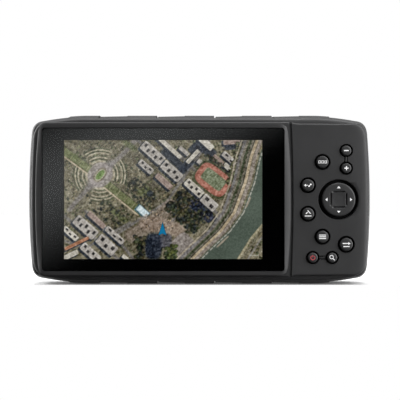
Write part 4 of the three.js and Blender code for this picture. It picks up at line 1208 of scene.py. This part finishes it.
def paint_town():
    """An invented town from above: a park with an oval, blocks with courts, a sports ground and a river."""
    town = Picture(ACTIVE_WIDTH, ACTIVE_HEIGHT, PICTURE_CELLS_PER_MM, 21)
    ground = 0.4 * town.cloud(7) + 0.3 * town.cloud(1.7) + 0.3 * town.cloud(0.45)
    town.pixels[:] = np.array((0.27, 0.25, 0.19)) + ground[..., None] * np.array((0.36, 0.34, 0.29))
    town.trees(54, 32, 112, 68, 0, 1900, LEAVES, (0.25, 0.7))
    town.trees(54, 32, 112, 68, 0, 700, DRY_GROUND, (0.12, 0.32))
    paint_park(town)
    paint_streets(town)
    paint_blocks(town)
    paint_sports_ground(town)
    paint_square(town)
    river = paint_river(town)

    # Speckle, haze and grain, then the device's own marker and a scale bar.
    speckle = town.cloud(0.55) + town.cloud(0.9) - 1
    town.pixels += (speckle * (0.20 - 0.16 * river))[..., None]
    haze = (town.cloud(14) - 0.5) * 0.05
    town.pixels += haze[..., None] + town.random.normal(0, 0.04, haze.shape)[..., None]
    grey = town.pixels.mean(2, keepdims=True)
    town.pixels = (grey + (town.pixels - grey) * 0.9) * PICTURE_GAIN
    marker = np.array([(53.8, 19.9), (55.9, 13.2), (53.8, 14.0), (51.7, 13.2)])
    fill_polygon(town, marker + (marker - marker.mean(0)) * 0.14, (0.04, 0.17, 0.26))
    fill_polygon(town, marker, (0.07, 0.48, 0.66))
    town.stroke([(101.5, 2.8), (101.5, 2.0), (106.0, 2.0), (106.0, 2.8)], 0.3, (0.8, 0.8, 0.76), 0.8)
    return np.clip(town.pixels, 0.02, 1)


def fill_polygon(picture, points, colour):
    """Fills a polygon by counting how often a line to the left of each point crosses its edges."""
    inside = np.zeros(picture.x.shape, bool)
    for (x0, z0), (x1, z1) in zip(points, np.roll(points, -1, 0)):
        if z0 == z1:
            continue
        crosses = (z0 > picture.z) != (z1 > picture.z)
        inside ^= crosses & (picture.x < x0 + (picture.z - z0) / (z1 - z0) * (x1 - x0))
    picture.blend(inside.astype(float), colour)


def screen_material():
    """A lit display: the painted colours shine, and a film over them keeps a faint grain."""
    material, tree, shader = new_material("lit_display")
    colour = add(tree, "Attribute")
    colour.attribute_name = "picture"
    film = noise(tree, coordinates_of(tree), 3000.0)
    feed(shader, Emission_Color=colour.outputs["Color"], Emission_Strength=0.9, Base_Color=(0.01, 0.01, 0.01),
         Roughness=ramp(tree, film, 0.45, 0.6))
    behind_glass(shader)
    return material


def screen():
    """The display panel: a slab whose front is a fine grid that carries the picture as vertex colours."""
    picture = paint_town()
    step = 2
    rows, columns = picture.shape[0] // step, picture.shape[1] // step
    cells = picture.reshape(rows, step, columns, step, 3).mean((1, 3))
    size = ACTIVE_WIDTH / columns
    front, back = LENS_BACK + 0.75, depth_of("lcd_panel")[1]
    xs = LENS_X - ACTIVE_WIDTH / 2 + np.arange(columns + 1) * size
    zs = LENS_Z - ACTIVE_HEIGHT / 2 + np.arange(rows + 1) * size
    points = [(x, front, z) for z in zs for x in xs]
    width = columns + 1
    faces = [(j * width + i, j * width + i + 1, (j + 1) * width + i + 1, (j + 1) * width + i)
             for j in range(rows) for i in range(columns)]
    rim = [*range(width), *(j * width + columns for j in range(1, rows + 1))]
    rim += [rows * width + i for i in range(columns - 1, -1, -1)]
    rim += [j * width for j in range(rows - 1, 0, -1)]
    front_count, rim_count = len(points), len(rim)
    points += [(points[i][0], back, points[i][2]) for i in rim]
    for k, corner in enumerate(rim):
        after = (k + 1) % rim_count
        faces.append((corner, front_count + k, front_count + after, rim[after]))
    faces.append(tuple(range(front_count, front_count + rim_count)))
    piece = mesh_object("display_picture", (points, faces))
    colours = np.zeros((len(points), 4))
    colours[:, 3] = 1
    padded = np.pad(cells, ((0, 1), (0, 1), (0, 0)), mode="edge")
    linear = np.where(padded <= 0.04045, padded / 12.92, ((padded + 0.055) / 1.055) ** 2.4)
    colours[:front_count, :3] = linear.reshape(-1, 3)
    layer = piece.data.color_attributes.new("picture", "FLOAT_COLOR", "POINT")
    layer.data.foreach_set("color", colours.astype(np.float32).ravel())
    finish_piece(piece, screen_material(), "case", ["lcd_panel"])


# ---------------- battery cover and fasteners

def battery_cover():
    """The cover: a rolled edge, a groove round its panel, five slots, and a recess for each fastener."""
    outline = rounded_rect(COVER_X, COVER_Z, COVER_WIDTH, COVER_HEIGHT, COVER_RADIUS, 12)
    piece = mesh_object("battery_lid", loft(outline, [
        (COVER_FRONT, 0), (BACK_FACE + 0.9, 0), (BACK - 1.35, 0.18), (BACK - 0.8, 0.6), (BACK - 0.38, 1.3),
        (BACK - 0.12, 2.2), (BACK, 3.4)]))
    x, _, width, height = face_of("battery_pack")
    cutters = [prism(rounded_rect(x, MIDDLE_Z, width + 1, height + 1, 2), COVER_FRONT - 1, BACK - 2.2)]
    for x, _, z in STUDS.values():
        cutters.append(flared(circle(x, z, 8.0, 72), BACK - 3.4, BACK, 0.35))
        cutters.append(prism(circle(x, z, 2.3), COVER_FRONT - 1, BACK))
    panel = rounded_rect(COVER_X, COVER_Z, 78, 50, 5, 10)
    groove = loft(panel, [(BACK + 1, 0), (BACK, 0), (BACK - 0.35, 0.5), (BACK - 0.35, 0.9), (BACK, 1.4),
                          (BACK + 1, 1.4)], 8, closed=True)
    combine(piece, merge(*cutters), "DIFFERENCE")
    combine(piece, groove, "DIFFERENCE")
    for row in range(-2, 3):
        slot = rounded_rect(COVER_X, COVER_Z + row * 7.0, 56, 2.2, 1.0, 6)
        combine(piece, loft(slot, [(BACK + 1, 0), (BACK - 0.02, 0), (BACK - 0.45, 0.5)], 1.05), "DIFFERENCE")
    soften(piece, 0.12)
    finish_piece(piece, MATERIALS["case"], "cover", ["battery_cover"])


def fastener(side):
    """A turned stud with two ears, and the D-shaped ring that folds between them."""
    x, _, z = STUDS[side]
    front = depth_of(f"cover_stud_{side}")[0]
    floor = BACK - 3.3
    hinge_y, hinge_z = BACK - 1, z + 2.6
    stud = mesh_object(f"{side}_stud", lathe(x, z, [
        (1.5, front), (2.0, front + 0.5), (2.0, floor), (7.3, floor), (7.6, floor + 0.2), (7.6, floor + 0.8),
        (7.4, floor + 1.0), (6.3, floor + 1.0), (6.1, floor + 0.85), (0.05, floor + 0.85)]))
    section = [(hinge_z - 1.3, floor + 0.5), (hinge_z + 1.3, floor + 0.5)]
    section += [(hinge_z + 1.3 * math.cos(a), hinge_y - 0.4 + 1.3 * math.sin(a))
                for a in np.linspace(0, math.pi, 14)]
    ears = [skin([[(x + way * 5.3 + half, y, ear_z) for ear_z, y in section] for half in (-0.7, 0.7)])
            for way in (-1, 1)]
    combine(stud, merge(*ears), "UNION")
    combine(stud, rod(x - 7, x + 7, hinge_y, hinge_z, 0.75, 20), "DIFFERENCE")
    soften(stud, 0.1)
    finish_piece(stud, MATERIALS["steel"], f"stud_{side}", [f"cover_stud_{side}"])

    half, bow_z = 3.6, z - 2.6
    path = [(x - half, hinge_z, hinge_y)]
    path += [(x - half, c, hinge_y) for c in np.linspace(hinge_z - 1, bow_z, 5)]
    path += [(x + half * math.cos(a), bow_z + half * math.sin(a), hinge_y)
             for a in np.linspace(math.pi, 2 * math.pi, 22)[1:-1]]
    path += [(x + half, c, hinge_y) for c in np.linspace(bow_z, hinge_z - 1, 5)]
    path += [(x + half, hinge_z, hinge_y)]
    path += [(c, hinge_z, hinge_y) for c in np.linspace(x + half - 1, x - half + 1, 6)]
    ring = mesh_object(f"{side}_ring", swept(path, 0.68))
    combine(ring, rod(x - 6.3, x + 6.3, hinge_y, hinge_z, 0.6, 16), "UNION")
    finish_piece(ring, MATERIALS["steel"], f"ring_{side}", [f"d_ring_{side}"], 45)


def battery():
    """A wrapped block with two bands and a row of plain printed lines."""
    x, z, width, height = face_of("battery_pack")
    front, back = depth_of("battery_pack")
    body = loft(rounded_rect(x, z, width, height, 2.4, 8), [
        (front, 1.0), (front + 0.4, 0.3), (front + 1.2, 0), (back - 1.2, 0), (back - 0.4, 0.3), (back, 1.0),
    ], 5)
    prints = [rounded_rect(x, z + offset, 78, 3, 1.2, 4) for offset in (-19, 19)]
    prints += [rounded_rect(x + 30, z - 7.5 + 3 * step, 14, 1.1, 0.5, 4) for step in range(6)]
    marks = [prism(outline, back - 0.02, back + 0.04) for outline in prints]
    inlaid("battery_block", body, marks, [MATERIALS["battery"], MATERIALS["battery_band"]], "case",
           ["battery_pack"])


def cap(name):
    """A rubber cap: a lid with a rolled edge, a bead beneath it and a raised pull tab."""
    x, z, width, height = cap_lid(name)
    inner = BACK_FACE - CAP_THICKNESS
    lid = mesh_object(f"{name}_lid", loft(rounded_rect(x, z, width, height, CAP_CORNER, 8), [
        (inner, 0.25), (inner + 0.2, 0), (BACK_FACE - 0.45, 0), (BACK_FACE - 0.15, 0.14), (BACK_FACE, 0.5),
    ], 3.5))
    pocket_width, pocket_height, _ = POCKETS[name]
    bead = loft(rounded_rect(x, z, pocket_width - 1, pocket_height - 1, 1.6, 5), [
        (inner + 0.5, 0), (inner - 1.1, 0), (inner - 1.4, 0.25), (inner - 1.4, 1.0), (inner + 0.5, 1.2)], 3,
        closed=True)
    straight = height - 6
    radius = CAP_THICKNESS / 2
    edge = skin([[(x - width / 2 + radius * math.cos(a), inner + radius + radius * math.sin(a), end)
                  for a in np.arange(24) * math.pi / 12] for end in (z - straight / 2, z + straight / 2)])
    tab = loft(rounded_rect(x + width / 2 - 2.2, z, 1.7, min(8.0, straight), 0.8, 5), [
        (BACK_FACE - 0.5, 0), (BACK_FACE + 0.5, 0), (BACK_FACE + 0.74, 0.18), (BACK_FACE + 0.8, 0.45)], 0.84)
    for solid in (bead, edge, tab):
        combine(lid, solid, "UNION")
    panel = rounded_rect(x - 0.8, z, width - 7.5, height - 4.6, 1.6, 5)
    hollow = loft(panel, [(BACK_FACE + 1, 0), (BACK_FACE, 0), (BACK_FACE - 0.22, 0.2)], 2.5)
    combine(lid, hollow, "DIFFERENCE")
    finish_piece(lid, MATERIALS["grip"], name, [name])


def case_screw(index):
    """A pan-head screw with a six-lobed socket."""
    name = f"case_screw_{index}"
    x, z, _, _ = face_of(name)
    front, back = depth_of(name)
    seat = back - 2.1
    screw = mesh_object(f"screw_{index}", lathe(x, z, [
        (0.6, front), (1.2, front + 1.2), (1.2, seat), (2.15, seat), (2.27, seat + 0.15), (2.27, seat + 1.2),
        (2.1, seat + 1.7), (1.75, seat + 2.0), (0.05, back)], 48))
    angles = np.arange(72) * math.pi / 36
    radii = 1.05 + 0.17 * np.cos(6 * angles)
    lobes = np.stack([x + radii * np.cos(angles), z + radii * np.sin(angles)], 1)
    combine(screw, prism(lobes, back - 1.2, back + 1), "DIFFERENCE")
    finish_piece(screw, MATERIALS["steel"], "case", [name])


# ---------------- CAD nodes that keep their shape

KEPT_FINISH = {
    "steel": "shield", "brass": "brass", "board": "board", "polyimide": "film", "ceramic": "ceramic",
    "foam": "foam", "connector": "connector", "chassis": "chassis", "grip": "grip", "battery": "battery",
    "keys": "key",
}


def dress_kept_nodes():
    """Gives each CAD node the material of its slot; the pieces made above hide those that they replace."""
    for part in frame["record"]["subparts"]:
        finish = KEPT_FINISH.get(part["material_slot"])
        if finish is None:
            continue
        mesh = frame["nodes"][part["node"]].data
        mesh.materials.clear()
        mesh.materials.append(MATERIALS[finish])


# ---------------- light, floor and camera

BAND_SLOPE = 0.565
BAND_HEIGHT = 0.085
BAND_HALF = 0.083


def studio_world(tree):
    """A white surround for the camera.

    In reflections it is a dim room with one soft bright band, aslant and to the upper left.
    """
    tree.nodes.clear()

    def maths(operation, first, *others):
        node = tree.nodes.new("ShaderNodeMath")
        node.operation = operation
        for socket, value in zip(node.inputs, (first, *others)):
            if isinstance(value, (int, float)):
                socket.default_value = value
            else:
                tree.links.new(value, socket)
        return node.outputs[0]

    def smooth_step(value, start, end):
        node = add(tree, "MapRange", Value=value, From_Min=start, From_Max=end)
        node.interpolation_type = "SMOOTHSTEP"
        return node.outputs["Result"]

    split = add(tree, "SeparateXYZ", Vector=add(tree, "TexCoord").outputs["Generated"])
    x, z = split.outputs["X"], split.outputs["Z"]
    off_band = maths("ABSOLUTE", maths("MULTIPLY_ADD", x, -BAND_SLOPE, maths("SUBTRACT", z, BAND_HEIGHT)))
    band = smooth_step(off_band, BAND_HALF, 0.0)
    aside = maths("SQRT", maths("ADD", maths("MULTIPLY", x, x), maths("MULTIPLY", z, z)))
    spread = smooth_step(aside, 0.17, 0.5)
    overhead = maths("MINIMUM", maths("MAXIMUM", maths("MULTIPLY_ADD", z, 1.2, 0.5), 0.0), 1.0)
    room = maths("MULTIPLY", maths("MULTIPLY", spread, overhead), 0.24)
    near = maths("MULTIPLY", maths("SUBTRACT", 1.0, spread), band)
    lit = add(tree, "Background", Color=maths("ADD", room, near)).outputs[0]
    seen = add(tree, "Background", Color=(1, 1, 1)).outputs[0]
    by_camera = add(tree, "LightPath").outputs["Is Camera Ray"]
    add(tree, "OutputWorld", Surface=mixed(tree, by_camera, lit, seen))


IMAGE_WIDTH = 400
MM_PER_PIXEL = 0.5644
CAMERA_DROP = 0.25
FOCUS_Y = 3  # depth at which a pixel spans MM_PER_PIXEL, where the case is at its widest
FLOOR_FRONT, FLOOR_REACH = -12, 3000


def stand(name, thing, place, target=(0, 0, 0.047)):
    """Puts a light in the scene, pointing at a target in metres."""
    holder = bpy.data.objects.new(name, thing)
    bpy.context.scene.collection.objects.link(holder)
    holder.location = place
    holder.rotation_euler = (Vector(target) - Vector(place)).to_track_quat("-Z", "Y").to_euler()
    return holder


def studio():
    """A high broad sun, a soft box at either side, a pale floor and a camera straight ahead."""
    scene = bpy.context.scene
    scene.view_settings.view_transform = "Standard"
    scene.world = bpy.data.worlds.new("studio")
    scene.world.use_nodes = True
    studio_world(scene.world.node_tree)

    overhead = bpy.data.lights.new("overhead", "SUN")
    overhead.energy = 2.9
    overhead.angle = math.radians(50)
    stand("overhead", overhead, (0.0, 0.05, 1.0))
    for name, place, size, power in (("left_box", (-0.60, 0.16, 0.16), (0.5, 0.9), 8.0),
                                     ("right_box", (0.50, -0.26, 0.18), (0.4, 0.7), 4.2)):
        lamp = bpy.data.lights.new(name, "AREA")
        lamp.shape = "RECTANGLE"
        lamp.size, lamp.size_y = size
        lamp.energy = power
        stand(name, lamp, place).visible_camera = False

    corners = [(-FLOOR_REACH, FLOOR_FRONT, 0), (FLOOR_REACH, FLOOR_FRONT, 0), (FLOOR_REACH, FLOOR_REACH, 0),
               (-FLOOR_REACH, FLOOR_REACH, 0)]
    floor = mesh_object("floor", (corners, [(0, 1, 2, 3)]))
    material, _, shader = new_material("pale_floor")
    feed(shader, Base_Color=(0.93, 0.93, 0.93), Emission_Color=(1, 1, 1), Emission_Strength=0.08,
         Roughness=0.9)
    floor.data.materials.append(material)
    floor.location.z = cad_low.z

    camera = bpy.data.cameras.new("camera")
    camera.lens = 105
    camera.sensor_width = 36
    distance = MM_PER_PIXEL * MM * IMAGE_WIDTH * camera.lens / camera.sensor_width
    holder = bpy.data.objects.new("camera", camera)
    holder.location = (0.0003, FOCUS_Y * MM - distance, (MIDDLE_Z - CAMERA_DROP) * MM)
    holder.rotation_euler = (math.radians(90), 0, 0)
    scene.collection.objects.link(holder)
    scene.camera = holder


rear_shell()
grip("upper_strip", 1)
grip("lower_strip", -1)
front_shell()
lens()
screen()
for key_name in KEY_NAMES:
    key(key_name)
dpad()
key_mat()
battery_cover()
for fastener_side in STUDS:
    fastener(fastener_side)
battery()
for cap_name in POCKETS:
    cap(cap_name)
for screw_index in range(1, 7):
    case_screw(screw_index)
dress_kept_nodes()
studio()
